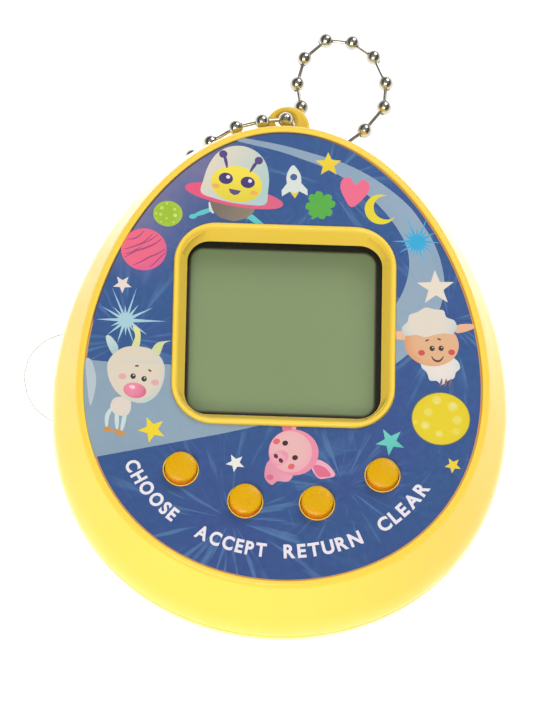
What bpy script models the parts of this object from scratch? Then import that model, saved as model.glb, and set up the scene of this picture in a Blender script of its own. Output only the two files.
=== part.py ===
"""Virtual pet keychain: an egg-shaped toy with a display window, four buttons and a ball chain.

The toy lies on its back. The origin is the point of the flat back that is directly behind the
centre of the display window: +X is right, +Y is towards the chain lug, +Z comes out of the face.
"""
import math

import bmesh
import bpy
from mathutils import Vector

MM = 0.001
GAP = 0.3 * MM                      # clearance left between two separate pieces

# Egg outline of the printed face label
LABEL_WIDTH = 39.1 * MM
LABEL_HEIGHT = 47.7 * MM
EGG_TAPER = 0.14                    # how much narrower the top is than the bottom
EGG_SQUARENESS = 0.03
EGG_CENTRE_Y = -3.1 * MM
OUTLINE_SIDES = 52

# Side profile of the casing: offsets are measured outwards from the label's outline
SIDE_RADIUS = 9.0 * MM
SIDE_BULGE = 3.15 * MM
WIDEST_Z = 9.0 * MM
SIDE_LEAN = math.radians(21.0)      # lean of the upper side wall
WALL = 1.4 * MM
BACK_INSET = -3.45 * MM
BACK_WALL = 1.5 * MM
PARTING_Z = 8.6 * MM
SHOULDER_Z = 16.2 * MM              # where the leaning wall turns into the rim
RIM_EDGE = (0.78 * MM, 16.7 * MM)   # offset and height of the rim's outer edge
RIM_CREST_OFFSET = 0.5 * MM
RIM_INNER_OFFSET = 0.12 * MM
RIM_TOP_Z = 16.95 * MM
RIM_ROUNDING = 0.1 * MM
RECESS_FLOOR_Z = 16.3 * MM
FRONT_INNER_Z = 15.0 * MM
INNER_SHOULDER_Z = 14.2 * MM
LABEL_THICKNESS = 0.2 * MM

# Display window and the display stack behind it
BEZEL_SIZE = (22.3 * MM, 21.5 * MM)
BEZEL_RADIUS = 4.3 * MM
BEZEL_TOP_Z = 17.1 * MM
WINDOW_SIZE = (19.6 * MM, 18.6 * MM)
WINDOW_RADIUS = 2.3 * MM
WINDOW_EDGE_Z = 15.5 * MM
BEZEL_UNDER_Z = 15.35 * MM
BEZEL_SLOPE = 1.35 * MM             # width of the bezel from its outer edge to the window
WINDOW_CUT_SIZE = (21.0 * MM, 20.2 * MM)
WINDOW_CUT_RADIUS = 3.8 * MM
LENS_SIZE = (22.6 * MM, 21.8 * MM)
LENS_Z = (13.9 * MM, 14.7 * MM)
GLASS_SIZE = (23.4 * MM, 22.6 * MM)
GLASS_Z = (12.4 * MM, 13.6 * MM)
REFLECTOR_SIZE = (19.0 * MM, 17.0 * MM)
REFLECTOR_Z = (11.9 * MM, 12.1 * MM)
FRAME_SIZE = (25.6 * MM, 24.8 * MM)
FRAME_SEAT_SIZE = (22.0 * MM, 22.4 * MM)
FRAME_SEAT_Z = 12.1 * MM
ZEBRA_SIZE = (20.0 * MM, 1.6 * MM)
ZEBRA_Y = 10.0 * MM

# Circuit board and what it carries
BOARD_Z = (9.2 * MM, 10.2 * MM)
BOARD_OFFSET = -1.3 * MM
BLOB_CENTRE = (0.0, 5.2 * MM)
BLOB_RADIUS = 2.8 * MM
BOARD_PARTS_Z = 8.1 * MM
CAPACITOR_CENTRE = (7.5 * MM, 6.0 * MM)
CAPACITOR_SIZE = (3.0 * MM, 2.0 * MM)
RESISTOR_CENTRE = (-7.5 * MM, 6.0 * MM)
RESISTOR_SIZE = (3.2 * MM, 1.6 * MM)

# Buttons: name and place, left to right
BUTTONS = {
    "choose": (-10.0 * MM, -15.65 * MM),
    "accept": (-3.55 * MM, -18.8 * MM),
    "return": (3.55 * MM, -18.8 * MM),
    "clear": (10.0 * MM, -15.65 * MM),
}
BUTTON_RADIUS = 1.6 * MM
BUTTON_TOP_Z = 17.8 * MM
FLANGE_RADIUS = 2.5 * MM
FLANGE_Z = (13.5 * MM, 14.6 * MM)
DOME_RADIUS = 1.9 * MM

# Screws: places of the casing bosses and of the board posts
CASE_BOSSES = {
    "top": (0.0, 17.6 * MM),
    "left": (-15.2 * MM, -13.2 * MM),
    "right": (15.2 * MM, -13.2 * MM),
    "bottom": (0.0, -22.6 * MM),
}
BOSS_RADIUS = 1.9 * MM
SCREW_WELL_RADIUS = 1.7 * MM
WELL_WALL_RADIUS = 2.15 * MM
SCREW_SHELF_Z = 3.0 * MM
SCREW_HEAD_RADIUS = 1.35 * MM
SCREW_SHAFT_RADIUS = 0.6 * MM
CASE_SCREW_TIP_Z = 13.0 * MM
BOARD_POSTS = {"left": (-14.6 * MM, 6.0 * MM), "right": (14.6 * MM, 6.0 * MM)}
POST_RADIUS = 1.4 * MM
BOARD_SCREW_TIP_Z = 13.0 * MM

# Two button cells side by side under the door in the back
CELL_RADIUS = 5.8 * MM
CELL_Z = (2.4 * MM, 7.8 * MM)
CELL_X = 6.0 * MM
CELL_Y = -8.5 * MM
BAY_SIZE = (25.2 * MM, 13.4 * MM)
BAY_WALL = 1.0 * MM
BAY_TOP_Z = 7.9 * MM
DOOR_THICKNESS = 1.2 * MM
EAR_CENTRE = (0.0, -16.9 * MM)
EAR_RADIUS = 2.6 * MM
EAR_THICKNESS = 2.0 * MM
EAR_PAD_RADIUS = 3.3 * MM
EAR_PAD_TOP_Z = 6.2 * MM
CONTACT_THICKNESS = 0.2 * MM
LEAF_Z = 8.1 * MM
BRIDGE_Z = 1.5 * MM
BRIDGE_SIZE = (18.0 * MM, 3.0 * MM)
DOOR_CORNER = 0.1 * MM              # how far the bay's round ends are from full half circles

# Piezo sounder in a ring in the back
BUZZER_CENTRE = (0.0, 10.0 * MM)
BUZZER_RADIUS = 4.5 * MM
CERAMIC_RADIUS = 3.0 * MM
BUZZER_Z = 2.0 * MM
BUZZER_THICKNESS = 0.2 * MM
SOUND_HOLE_RADIUS = 0.5 * MM
SOUND_HOLE_CIRCLE = 2.2 * MM
WIRE_RADIUS = 0.35 * MM

# Battery pull tab: a strip of film that leaves through a slot in the left side
TAB_Y = -0.95 * MM
TAB_HALF_WIDTH = 5.0 * MM
TAB_END_X = -25.8 * MM
TAB_INNER_X = -3.5 * MM
TAB_Z = (2.0 * MM, 2.1 * MM)

# Chain lug
LUG_CENTRE = (0.35 * MM, 25.3 * MM)
LUG_RADIUS = 2.25 * MM
LUG_Z = (6.0 * MM, 7.9 * MM)
LUG_HOLE_CENTRE = (0.1 * MM, 25.9 * MM)
LUG_HOLE_RADIUS = 1.05 * MM
LUG_ROOT_Y = 21.0 * MM
LUG_FLARE = 0.5 * MM                # how much wider the lug is at its root, on each side

# Ball chain: the balls' centres in millimetres, from the lug's hole to the clasp on each side
BALL_RADIUS = 0.75 * MM
LINK_RADIUS = 0.22 * MM
HOLE_BALL = (0.1, 25.9, 8.05)
LEFT_BALLS = [
    (-2.35, 25.35, 8.7), (-5.0, 24.95, 7.8), (-7.5, 23.8, 6.4), (-9.3, 23.0, 4.4),
    (-10.3, 21.3, 2.5), (-9.1, 19.8, 0.85), (-6.5, 20.3, 0.75), (-3.9, 21.3, 0.75),
]
RIGHT_BALLS = [
    (0.5, 26.2, 5.3), (0.95, 26.8, 2.9), (1.3, 27.9, 0.85), (1.95, 30.4, 0.75),
    (1.5, 33.0, 0.75), (2.2, 35.9, 0.75), (4.4, 38.0, 0.75), (7.15, 37.85, 0.75),
    (9.4, 36.3, 0.75), (10.7, 33.4, 0.75), (10.55, 30.7, 0.75), (8.55, 28.05, 0.75),
    (6.3, 26.2, 0.75), (5.9, 23.7, 0.75), (4.1, 22.1, 0.75),
]
LEFT_SPLIT = 4                      # balls on the first left segment
RIGHT_SPLIT = 6                     # balls on the first right segment, after the one in the hole
CLASP_CENTRE = (0.15 * MM, 21.7 * MM, 1.0 * MM)
CLASP_LENGTH = 5.0 * MM
CLASP_RADIUS = 1.0 * MM
CHAIN_SIDES = 7

ROUND_SIDES = 18


# ---------------------------------------------------------------- outlines

def egg_outline(offset):
    """The label's egg outline, moved outwards by offset, as a closed list of points."""
    points = []
    for step in range(OUTLINE_SIDES):
        angle = 2.0 * math.pi * step / OUTLINE_SIDES
        sine, cosine = math.sin(angle), math.cos(angle)
        width = 1.0 - EGG_TAPER * sine + EGG_SQUARENESS * sine * sine
        slope = -EGG_TAPER * cosine + 2.0 * EGG_SQUARENESS * sine * cosine
        x = 0.5 * LABEL_WIDTH * cosine * width
        y = 0.5 * LABEL_HEIGHT * sine
        along_x = 0.5 * LABEL_WIDTH * (-sine * width + cosine * slope)
        along_y = 0.5 * LABEL_HEIGHT * cosine
        length = math.hypot(along_x, along_y)
        x += offset * along_y / length
        y -= offset * along_x / length
        points.append((x, y + EGG_CENTRE_Y))
    return points


def circle_outline(centre, radius, sides=ROUND_SIDES):
    """A circle around centre."""
    points = []
    for step in range(sides):
        angle = 2.0 * math.pi * step / sides
        points.append((centre[0] + radius * math.cos(angle), centre[1] + radius * math.sin(angle)))
    return points


def rounded_outline(centre, size, radius, corner_steps=5):
    """A rectangle with round corners; a radius of half the height makes a stadium."""
    points = []
    half_x = 0.5 * size[0] - radius
    half_y = 0.5 * size[1] - radius
    corners = [(half_x, half_y), (-half_x, half_y), (-half_x, -half_y), (half_x, -half_y)]
    for number, (corner_x, corner_y) in enumerate(corners):
        for step in range(corner_steps + 1):
            angle = 0.5 * math.pi * (number + step / corner_steps)
            x = centre[0] + corner_x + radius * math.cos(angle)
            y = centre[1] + corner_y + radius * math.sin(angle)
            points.append((x, y))
    return points


def side_point(angle, inset=0.0):
    """Offset and height of the casing's bulging side at an angle from its widest line."""
    radius = SIDE_RADIUS - inset
    offset = SIDE_BULGE - SIDE_RADIUS + radius * math.cos(angle)
    return offset, WIDEST_Z + radius * math.sin(angle)


def leaning_offset(z, inset=0.0):
    """Offset of the straight leaning wall above the bulge at height z."""
    offset, start_z = side_point(SIDE_LEAN)
    return offset - (z - start_z) * math.tan(SIDE_LEAN) - inset / math.cos(SIDE_LEAN)


# ---------------------------------------------------------------- solids

def add_object(name, mesh_builder, finish=None, origin=(0.0, 0.0, 0.0)):
    """Turn a bmesh into a smooth-shaded object whose own origin is at the given place."""
    bmesh.ops.recalc_face_normals(mesh_builder, faces=mesh_builder.faces)
    bmesh.ops.translate(mesh_builder, verts=mesh_builder.verts, vec=-Vector(origin))
    mesh = bpy.data.meshes.new(name)
    mesh_builder.to_mesh(mesh)
    mesh_builder.free()
    mesh.shade_smooth()
    mesh.set_sharp_from_angle(angle=math.radians(35.0))
    thing = bpy.data.objects.new(name, mesh)
    thing.location = origin
    bpy.context.scene.collection.objects.link(thing)
    if finish:
        mesh.materials.append(finish)
    return thing


def bridge(builder, lower, upper):
    """Join two rings of the same length with quads."""
    count = len(lower)
    for step in range(count):
        following = (step + 1) % count
        builder.faces.new((lower[step], lower[following], upper[following], upper[step]))


def loft(name, rings, finish=None, ring_shaped=False, origin=(0.0, 0.0, 0.0)):
    """Join outlines at given heights into one solid, capped, or closed on itself like a ring."""
    builder = bmesh.new()
    rows = [[builder.verts.new((x, y, z)) for x, y in outline] for outline, z in rings]
    for lower, upper in zip(rows, rows[1:]):
        bridge(builder, lower, upper)
    if ring_shaped:
        bridge(builder, rows[-1], rows[0])
    else:
        builder.faces.new(rows[0])
        builder.faces.new(rows[-1])
    return add_object(name, builder, finish, origin)


def prism(name, outline, bottom, top, finish=None, origin=(0.0, 0.0, 0.0)):
    """A straight solid of one outline between two heights."""
    return loft(name, [(outline, bottom), (outline, top)], finish, origin=origin)


def turned(name, centre, profile, finish=None, origin=(0.0, 0.0, 0.0), sides=ROUND_SIDES):
    """A solid turned about a vertical axis: profile is a list of (radius, z)."""
    rings = [(circle_outline(centre, radius, sides), z) for radius, z in profile]
    return loft(name, rings, finish, origin=origin)


def box(name, centre, size, bottom, top, finish=None):
    """A plain block."""
    half_x, half_y = 0.5 * size[0], 0.5 * size[1]
    outline = [
        (centre[0] - half_x, centre[1] - half_y), (centre[0] + half_x, centre[1] - half_y),
        (centre[0] + half_x, centre[1] + half_y), (centre[0] - half_x, centre[1] + half_y),
    ]
    return prism(name, outline, bottom, top, finish)


def tube(name, stations, finish, sides, origin=(0.0, 0.0, 0.0)):
    """A round solid swept along stations of (point, radius), with flat ends."""
    builder = bmesh.new()
    rows = []
    count = len(stations)
    for index, (point, radius) in enumerate(stations):
        before = stations[max(index - 1, 0)][0]
        after = stations[min(index + 1, count - 1)][0]
        turn = (after - before).normalized().to_track_quat("Z", "Y")
        row = []
        for step in range(sides):
            angle = 2.0 * math.pi * step / sides
            spoke = Vector((radius * math.cos(angle), radius * math.sin(angle), 0.0))
            row.append(builder.verts.new(point + turn @ spoke))
        rows.append(row)
    for lower, upper in zip(rows, rows[1:]):
        bridge(builder, lower, upper)
    builder.faces.new(rows[0])
    builder.faces.new(rows[-1])
    return add_object(name, builder, finish, origin)


def boolean(thing, tool, operation):
    """Cut a tool out of a thing, or add it, and keep the tool as a hidden guide."""
    modifier = thing.modifiers.new(tool.name, "BOOLEAN")
    modifier.operation = operation
    modifier.solver = "EXACT"
    modifier.object = tool
    tool.hide_render = True
    tool.display_type = "WIRE"


def cut(thing, tool):
    boolean(thing, tool, "DIFFERENCE")


def add(thing, tool):
    boolean(thing, tool, "UNION")


# ---------------------------------------------------------------- materials

def plain_finish(name, colour, roughness, metallic=0.0, alpha=1.0):
    """A Principled material of one colour."""
    finish = bpy.data.materials.new(name)
    finish.use_nodes = True
    shader = finish.node_tree.nodes["Principled BSDF"]
    shader.inputs["Base Color"].default_value = (*colour, 1.0)
    shader.inputs["Roughness"].default_value = roughness
    shader.inputs["Metallic"].default_value = metallic
    shader.inputs["Alpha"].default_value = alpha
    finish.diffuse_color = (*colour, alpha)
    return finish


def make_finishes():
    return {
        "shell": plain_finish("yellow_plastic", (0.95, 0.66, 0.08), 0.3),
        "label": plain_finish("printed_label", (0.06, 0.10, 0.32), 0.25),
        "clear": plain_finish("clear_plastic", (0.95, 0.97, 0.98), 0.05, 0.0, 0.25),
        "glass": plain_finish("display_glass", (0.25, 0.30, 0.16), 0.15),
        "silver": plain_finish("silver_film", (0.7, 0.72, 0.7), 0.4, 0.6),
        "black": plain_finish("black_plastic", (0.02, 0.02, 0.02), 0.4),
        "rubber": plain_finish("grey_rubber", (0.25, 0.25, 0.26), 0.7),
        "button": plain_finish("amber_plastic", (0.75, 0.40, 0.02), 0.35),
        "board": plain_finish("green_board", (0.03, 0.22, 0.08), 0.45),
        "resin": plain_finish("black_resin", (0.015, 0.015, 0.015), 0.3),
        "brass": plain_finish("brass", (0.80, 0.58, 0.22), 0.3, 1.0),
        "ceramic": plain_finish("white_ceramic", (0.85, 0.83, 0.78), 0.4),
        "red": plain_finish("red_insulation", (0.6, 0.03, 0.02), 0.5),
        "steel": plain_finish("steel", (0.62, 0.62, 0.62), 0.3, 1.0),
        "chrome": plain_finish("nickel_plate", (0.75, 0.74, 0.72), 0.12, 1.0),
    }


# ---------------------------------------------------------------- casing

def front_boss(name, place, radius, bottom):
    return turned(name, place, [(radius, bottom), (radius, FRONT_INNER_Z + GAP)])


def make_front_shell(finish):
    """The front half: leaning sides, a raised rim around the label, the bezel and the posts."""
    bottom_z = PARTING_Z + 0.5 * GAP
    upper_offset, upper_z = side_point(SIDE_LEAN)
    middle_offset, middle_z = side_point(0.5 * SIDE_LEAN)
    inner_bottom, _ = side_point(0.0, WALL)
    rings = [
        (egg_outline(leaning_offset(FRONT_INNER_Z, WALL) - 0.5 * MM), FRONT_INNER_Z),
        (egg_outline(leaning_offset(INNER_SHOULDER_Z, WALL)), INNER_SHOULDER_Z),
        (egg_outline(leaning_offset(upper_z, WALL)), upper_z),
        (egg_outline(inner_bottom), bottom_z),
        (egg_outline(SIDE_BULGE), bottom_z),
        (egg_outline(middle_offset), middle_z),
        (egg_outline(upper_offset), upper_z),
        (egg_outline(leaning_offset(0.5 * (upper_z + SHOULDER_Z))), 0.5 * (upper_z + SHOULDER_Z)),
        (egg_outline(leaning_offset(SHOULDER_Z)), SHOULDER_Z),
        (egg_outline(RIM_EDGE[0]), RIM_EDGE[1]),
        (egg_outline(RIM_CREST_OFFSET), RIM_TOP_Z),
        (egg_outline(RIM_INNER_OFFSET), RIM_TOP_Z - RIM_ROUNDING),
        (egg_outline(RIM_INNER_OFFSET), RECESS_FLOOR_Z),
    ]
    shell = loft("front_shell", rings, finish)
    below_recess = FRONT_INNER_Z - 1.0 * MM
    opening = rounded_outline((0.0, 0.0), WINDOW_CUT_SIZE, WINDOW_CUT_RADIUS)
    cut(shell, prism("cut_window", opening, below_recess, RIM_TOP_Z + 1.0 * MM))
    add(shell, make_bezel_ring())
    for name, place in BUTTONS.items():
        hole = circle_outline(place, BUTTON_RADIUS + GAP)
        cut(shell, prism("cut_button_" + name, hole, below_recess, RIM_TOP_Z))
    for name, place in CASE_BOSSES.items():
        add(shell, front_boss("post_case_" + name, place, BOSS_RADIUS, bottom_z))
        hole = circle_outline(place, SCREW_SHAFT_RADIUS + GAP, 12)
        cut(shell, prism("cut_case_" + name, hole, bottom_z - 1.0 * MM, CASE_SCREW_TIP_Z + GAP))
    for name, place in BOARD_POSTS.items():
        add(shell, front_boss("post_board_" + name, place, POST_RADIUS, BOARD_Z[1] + GAP))
        hole = circle_outline(place, SCREW_SHAFT_RADIUS + GAP, 12)
        cut(shell, prism("cut_board_" + name, hole, BOARD_Z[1], BOARD_SCREW_TIP_Z + GAP))
    return shell


def make_bezel_ring():
    """The dished frame around the window, with a small round lip at its outer edge."""
    section = [
        (0.0, BEZEL_UNDER_Z), (0.0, 16.85 * MM), (0.16 * MM, 17.04 * MM), (0.34 * MM, BEZEL_TOP_Z),
        (0.5 * MM, 17.0 * MM), (BEZEL_SLOPE, WINDOW_EDGE_Z), (BEZEL_SLOPE, BEZEL_UNDER_Z),
    ]
    rings = []
    for inset, z in section:
        share = inset / BEZEL_SLOPE
        size = [outer + (inner - outer) * share for outer, inner in zip(BEZEL_SIZE, WINDOW_SIZE)]
        radius = BEZEL_RADIUS + (WINDOW_RADIUS - BEZEL_RADIUS) * share
        rings.append((rounded_outline((0.0, 0.0), size, radius), z))
    return loft("add_bezel", rings, ring_shaped=True)


def make_rear_shell(finish):
    """The rear half: round back, battery bay, sounder ring, screw bosses and the chain lug."""
    top_z = PARTING_Z - 0.5 * GAP
    top_angle = math.asin((top_z - WIDEST_Z) / SIDE_RADIUS)
    inner_top, _ = side_point(0.0, WALL)
    rings = [(egg_outline(BACK_INSET - 0.8 * MM), BACK_WALL)]
    for degrees in (-60.0, -40.0, -20.0):
        offset, z = side_point(math.radians(degrees), WALL)
        rings.append((egg_outline(offset), z))
    rings.append((egg_outline(inner_top), top_z))
    rings.append((egg_outline(side_point(top_angle)[0]), top_z))
    for degrees in (-16.0, -31.0, -46.0, -60.0):
        offset, z = side_point(math.radians(degrees))
        rings.append((egg_outline(offset), z))
    rings.append((egg_outline(BACK_INSET), 0.0))
    shell = loft("rear_shell", rings, finish)
    add_lug(shell)
    add_battery_bay(shell)
    add_sounder_ring(shell)
    for name, place in CASE_BOSSES.items():
        boss = [
            (WELL_WALL_RADIUS, BACK_WALL - 0.05 * MM), (WELL_WALL_RADIUS, SCREW_SHELF_Z + 1.0 * MM),
            (BOSS_RADIUS, SCREW_SHELF_Z + 1.2 * MM), (BOSS_RADIUS, top_z),
        ]
        add(shell, turned("boss_" + name, place, boss))
        well = [(SCREW_WELL_RADIUS, -1.0 * MM), (SCREW_WELL_RADIUS, SCREW_SHELF_Z)]
        cut(shell, turned("cut_well_" + name, place, well))
        hole = circle_outline(place, SCREW_SHAFT_RADIUS + GAP, 12)
        cut(shell, prism("cut_shaft_" + name, hole, SCREW_SHELF_Z - 0.5 * MM, top_z + 1.0 * MM))
    return shell


def add_lug(shell):
    """A flat tab with a round end and a hole for the chain."""
    root = LUG_RADIUS + LUG_FLARE
    outline = [(LUG_CENTRE[0] + root, LUG_ROOT_Y)]
    for step in range(13):
        angle = math.pi * step / 12
        x = LUG_CENTRE[0] + LUG_RADIUS * math.cos(angle)
        outline.append((x, LUG_CENTRE[1] + LUG_RADIUS * math.sin(angle)))
    outline.append((LUG_CENTRE[0] - root, LUG_ROOT_Y))
    add(shell, prism("add_lug", outline, LUG_Z[0], LUG_Z[1]))
    hole = circle_outline(LUG_HOLE_CENTRE, LUG_HOLE_RADIUS, 16)
    cut(shell, prism("cut_lug", hole, LUG_Z[0] - 1.0 * MM, LUG_Z[1] + 1.0 * MM))


def add_battery_bay(shell):
    """The walled bay for the two cells, open at the back, with a seat for the door's ear."""
    centre = (0.0, CELL_Y)
    outer = (BAY_SIZE[0] + 2.0 * BAY_WALL, BAY_SIZE[1] + 2.0 * BAY_WALL)
    wall = rounded_outline(centre, outer, 0.5 * outer[1] - DOOR_CORNER, 6)
    add(shell, prism("add_bay_wall", wall, 1.0 * MM, BAY_TOP_Z))
    pad = circle_outline(EAR_CENTRE, EAR_PAD_RADIUS)
    add(shell, prism("add_ear_pad", pad, 1.0 * MM, EAR_PAD_TOP_Z))
    inside = rounded_outline(centre, BAY_SIZE, 0.5 * BAY_SIZE[1] - DOOR_CORNER, 6)
    cut(shell, prism("cut_bay", inside, -1.0 * MM, BAY_TOP_Z + 1.0 * MM))
    ear = circle_outline(EAR_CENTRE, EAR_RADIUS + GAP)
    cut(shell, prism("cut_ear_seat", ear, -1.0 * MM, EAR_THICKNESS + GAP))
    hole = circle_outline(EAR_CENTRE, SCREW_SHAFT_RADIUS + GAP, 12)
    cut(shell, prism("cut_ear_hole", hole, EAR_THICKNESS, 5.6 * MM))
    slot_right = TAB_INNER_X + GAP
    slot_left = -30.0 * MM
    slot = box(
        "cut_tab_slot",
        (0.5 * (slot_left + slot_right), TAB_Y),
        (slot_right - slot_left, 2.0 * (TAB_HALF_WIDTH + GAP)),
        TAB_Z[0] - GAP,
        TAB_Z[1] + GAP,
    )
    cut(shell, slot)


def add_sounder_ring(shell):
    """A low ring that holds the piezo disc over the sound holes."""
    outer = BUZZER_RADIUS + GAP + 0.7 * MM
    add(shell, prism("add_sounder_ring", circle_outline(BUZZER_CENTRE, outer), 1.0 * MM, 3.2 * MM))
    inner = BUZZER_RADIUS + GAP
    cut(shell, prism("cut_sounder_ring", circle_outline(BUZZER_CENTRE, inner), BACK_WALL, 4.0 * MM))
    holes = [BUZZER_CENTRE]
    for step in range(6):
        angle = math.radians(60.0 * step)
        x = BUZZER_CENTRE[0] + SOUND_HOLE_CIRCLE * math.cos(angle)
        holes.append((x, BUZZER_CENTRE[1] + SOUND_HOLE_CIRCLE * math.sin(angle)))
    for number, place in enumerate(holes):
        hole = circle_outline(place, SOUND_HOLE_RADIUS, 8)
        cut(shell, prism("cut_sound_%d" % number, hole, -1.0 * MM, BACK_WALL + 0.3 * MM))


def make_face_label(finish):
    """The printed label, with openings for the window and the buttons."""
    bottom = RECESS_FLOOR_Z + GAP
    label = prism("face_label", egg_outline(-0.2 * MM), bottom, bottom + LABEL_THICKNESS, finish)
    size = [length + 2.0 * GAP for length in BEZEL_SIZE]
    opening = rounded_outline((0.0, 0.0), size, BEZEL_RADIUS + GAP)
    cut(label, prism("cut_label_window", opening, bottom - 1.0 * MM, bottom + 1.0 * MM))
    for name, place in BUTTONS.items():
        hole = circle_outline(place, BUTTON_RADIUS + GAP)
        cut(label, prism("cut_label_" + name, hole, bottom - 1.0 * MM, bottom + 1.0 * MM))


# ---------------------------------------------------------------- display and board

def make_display(finishes):
    """Clear window, display glass with its reflector, the carrier frame and the rubber connectors."""
    middle = (0.0, 0.0)
    prism("window_lens", rounded_outline(middle, LENS_SIZE, 1.5 * MM), *LENS_Z, finishes["clear"])
    prism("lcd_glass", rounded_outline(middle, GLASS_SIZE, 0.3 * MM, 2), *GLASS_Z, finishes["glass"])
    box("lcd_reflector", middle, REFLECTOR_SIZE, *REFLECTOR_Z, finishes["silver"])
    frame_outline = rounded_outline(middle, FRAME_SIZE, 1.0 * MM, 3)
    frame = prism("lcd_frame", frame_outline, BOARD_Z[1] + GAP, GLASS_Z[1], finishes["black"])
    pocket_size = [length + 2.0 * GAP for length in GLASS_SIZE]
    pocket = rounded_outline(middle, pocket_size, 0.5 * MM, 2)
    cut(frame, prism("cut_frame_pocket", pocket, FRAME_SEAT_Z, GLASS_Z[1] + 1.0 * MM))
    seat = rounded_outline(middle, FRAME_SEAT_SIZE, 0.4 * MM, 2)
    cut(frame, prism("cut_frame_seat", seat, BOARD_Z[1], FRAME_SEAT_Z + 0.5 * MM))
    for name, y in (("upper", ZEBRA_Y), ("lower", -ZEBRA_Y)):
        bottom = BOARD_Z[1] + GAP
        box("zebra_strip_" + name, (0.0, y), ZEBRA_SIZE, bottom, FRAME_SEAT_Z, finishes["rubber"])


def make_board(finishes):
    """The circuit board with notches around the casing posts, and the parts on its back."""
    board = prism("circuit_board", egg_outline(BOARD_OFFSET), *BOARD_Z, finishes["board"])
    for name, place in CASE_BOSSES.items():
        notch = circle_outline(place, BOSS_RADIUS + 0.4 * MM)
        cut(board, prism("cut_notch_" + name, notch, 8.0 * MM, 11.0 * MM))
    for name, place in BOARD_POSTS.items():
        hole = circle_outline(place, SCREW_SHAFT_RADIUS + GAP, 12)
        cut(board, prism("cut_board_hole_" + name, hole, 8.0 * MM, 11.0 * MM))
    under = BOARD_Z[0] - GAP
    blob = [
        (0.9 * MM, 7.9 * MM), (2.0 * MM, 8.15 * MM), (BLOB_RADIUS, 8.6 * MM), (BLOB_RADIUS, under),
    ]
    turned("chip_blob", BLOB_CENTRE, blob, finishes["resin"])
    heights = (BOARD_PARTS_Z, under)
    box("board_capacitor", CAPACITOR_CENTRE, CAPACITOR_SIZE, *heights, finishes["ceramic"])
    box("board_resistor", RESISTOR_CENTRE, RESISTOR_SIZE, *heights, finishes["resin"])


def make_buttons(finishes):
    """Four caps with a flange inside the casing, each over its own rubber dome."""
    under = BOARD_Z[1] + GAP
    for name, place in BUTTONS.items():
        cap = [
            (FLANGE_RADIUS, FLANGE_Z[0]), (FLANGE_RADIUS, FLANGE_Z[1]),
            (BUTTON_RADIUS, FLANGE_Z[1]), (BUTTON_RADIUS, 16.9 * MM),
            (1.52 * MM, 17.5 * MM), (1.3 * MM, 17.72 * MM), (0.8 * MM, BUTTON_TOP_Z),
        ]
        origin = (place[0], place[1], FLANGE_Z[0])
        turned("button_" + name, place, cap, finishes["button"], origin)
        dome = [
            (DOME_RADIUS, under), (DOME_RADIUS, under + 0.4 * MM), (1.25 * MM, 12.3 * MM),
            (1.1 * MM, FLANGE_Z[0] - GAP),
        ]
        turned("dome_" + name, place, dome, finishes["rubber"], (place[0], place[1], under), 12)


# ---------------------------------------------------------------- power, sound and screws

def make_power(finishes):
    """Two button cells, their contacts, the door with its captive screw, and the pull tab."""
    edge = 0.3 * MM
    cell = [
        (CELL_RADIUS - edge, CELL_Z[0]), (CELL_RADIUS, CELL_Z[0] + edge), (CELL_RADIUS, CELL_Z[1] - edge),
        (CELL_RADIUS - edge, CELL_Z[1]),
    ]
    for side, x in (("left", -CELL_X), ("right", CELL_X)):
        turned("battery_" + side, (x, CELL_Y), cell, finishes["steel"])
    for polarity, side in (("positive", -1.0), ("negative", 1.0)):
        make_leaf_contact("contact_" + polarity, side, finishes["brass"])
    bridge_top = BRIDGE_Z + CONTACT_THICKNESS
    box("contact_bridge", (0.0, CELL_Y), BRIDGE_SIZE, BRIDGE_Z, bridge_top, finishes["brass"])
    make_door(finishes)
    make_pull_tab(finishes["clear"])


def make_leaf_contact(name, side, finish):
    """A leaf over one cell, bent up at its inner end towards the board."""
    outer_x, inner_x = 9.0 * MM, 2.5 * MM
    top = LEAF_Z + CONTACT_THICKNESS
    tail_top = BOARD_Z[0] - GAP
    profile = [
        (outer_x, LEAF_Z), (outer_x, top), (inner_x + CONTACT_THICKNESS, top),
        (inner_x + CONTACT_THICKNESS, tail_top), (inner_x, tail_top), (inner_x, LEAF_Z),
    ]
    builder = bmesh.new()
    rows = []
    for y in (CELL_Y + 1.5 * MM, CELL_Y + 5.0 * MM):
        rows.append([builder.verts.new((side * x, y, z)) for x, z in profile])
    bridge(builder, *rows)
    for row in rows:
        builder.faces.new(row)
    add_object(name, builder, finish)


def make_door(finishes):
    """The battery door: a plate flush with the back and an ear for its screw."""
    origin = (EAR_CENTRE[0], EAR_CENTRE[1], 0.0)
    size = [length - 2.0 * GAP for length in BAY_SIZE]
    plate = rounded_outline((0.0, CELL_Y), size, 0.5 * size[1] - DOOR_CORNER, 6)
    door = prism("battery_door", plate, 0.0, DOOR_THICKNESS, finishes["shell"], origin)
    add(door, prism("add_door_ear", circle_outline(EAR_CENTRE, EAR_RADIUS), 0.0, EAR_THICKNESS))
    recess = circle_outline(EAR_CENTRE, SCREW_WELL_RADIUS)
    cut(door, prism("cut_door_recess", recess, -1.0 * MM, 1.1 * MM))
    hole = circle_outline(EAR_CENTRE, SCREW_SHAFT_RADIUS + GAP, 12)
    cut(door, prism("cut_door_hole", hole, 0.5 * MM, 3.0 * MM))
    make_screw("battery_door_screw", EAR_CENTRE, 0.2 * MM, 0.8 * MM, 5.2 * MM, finishes["steel"], origin)


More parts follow.
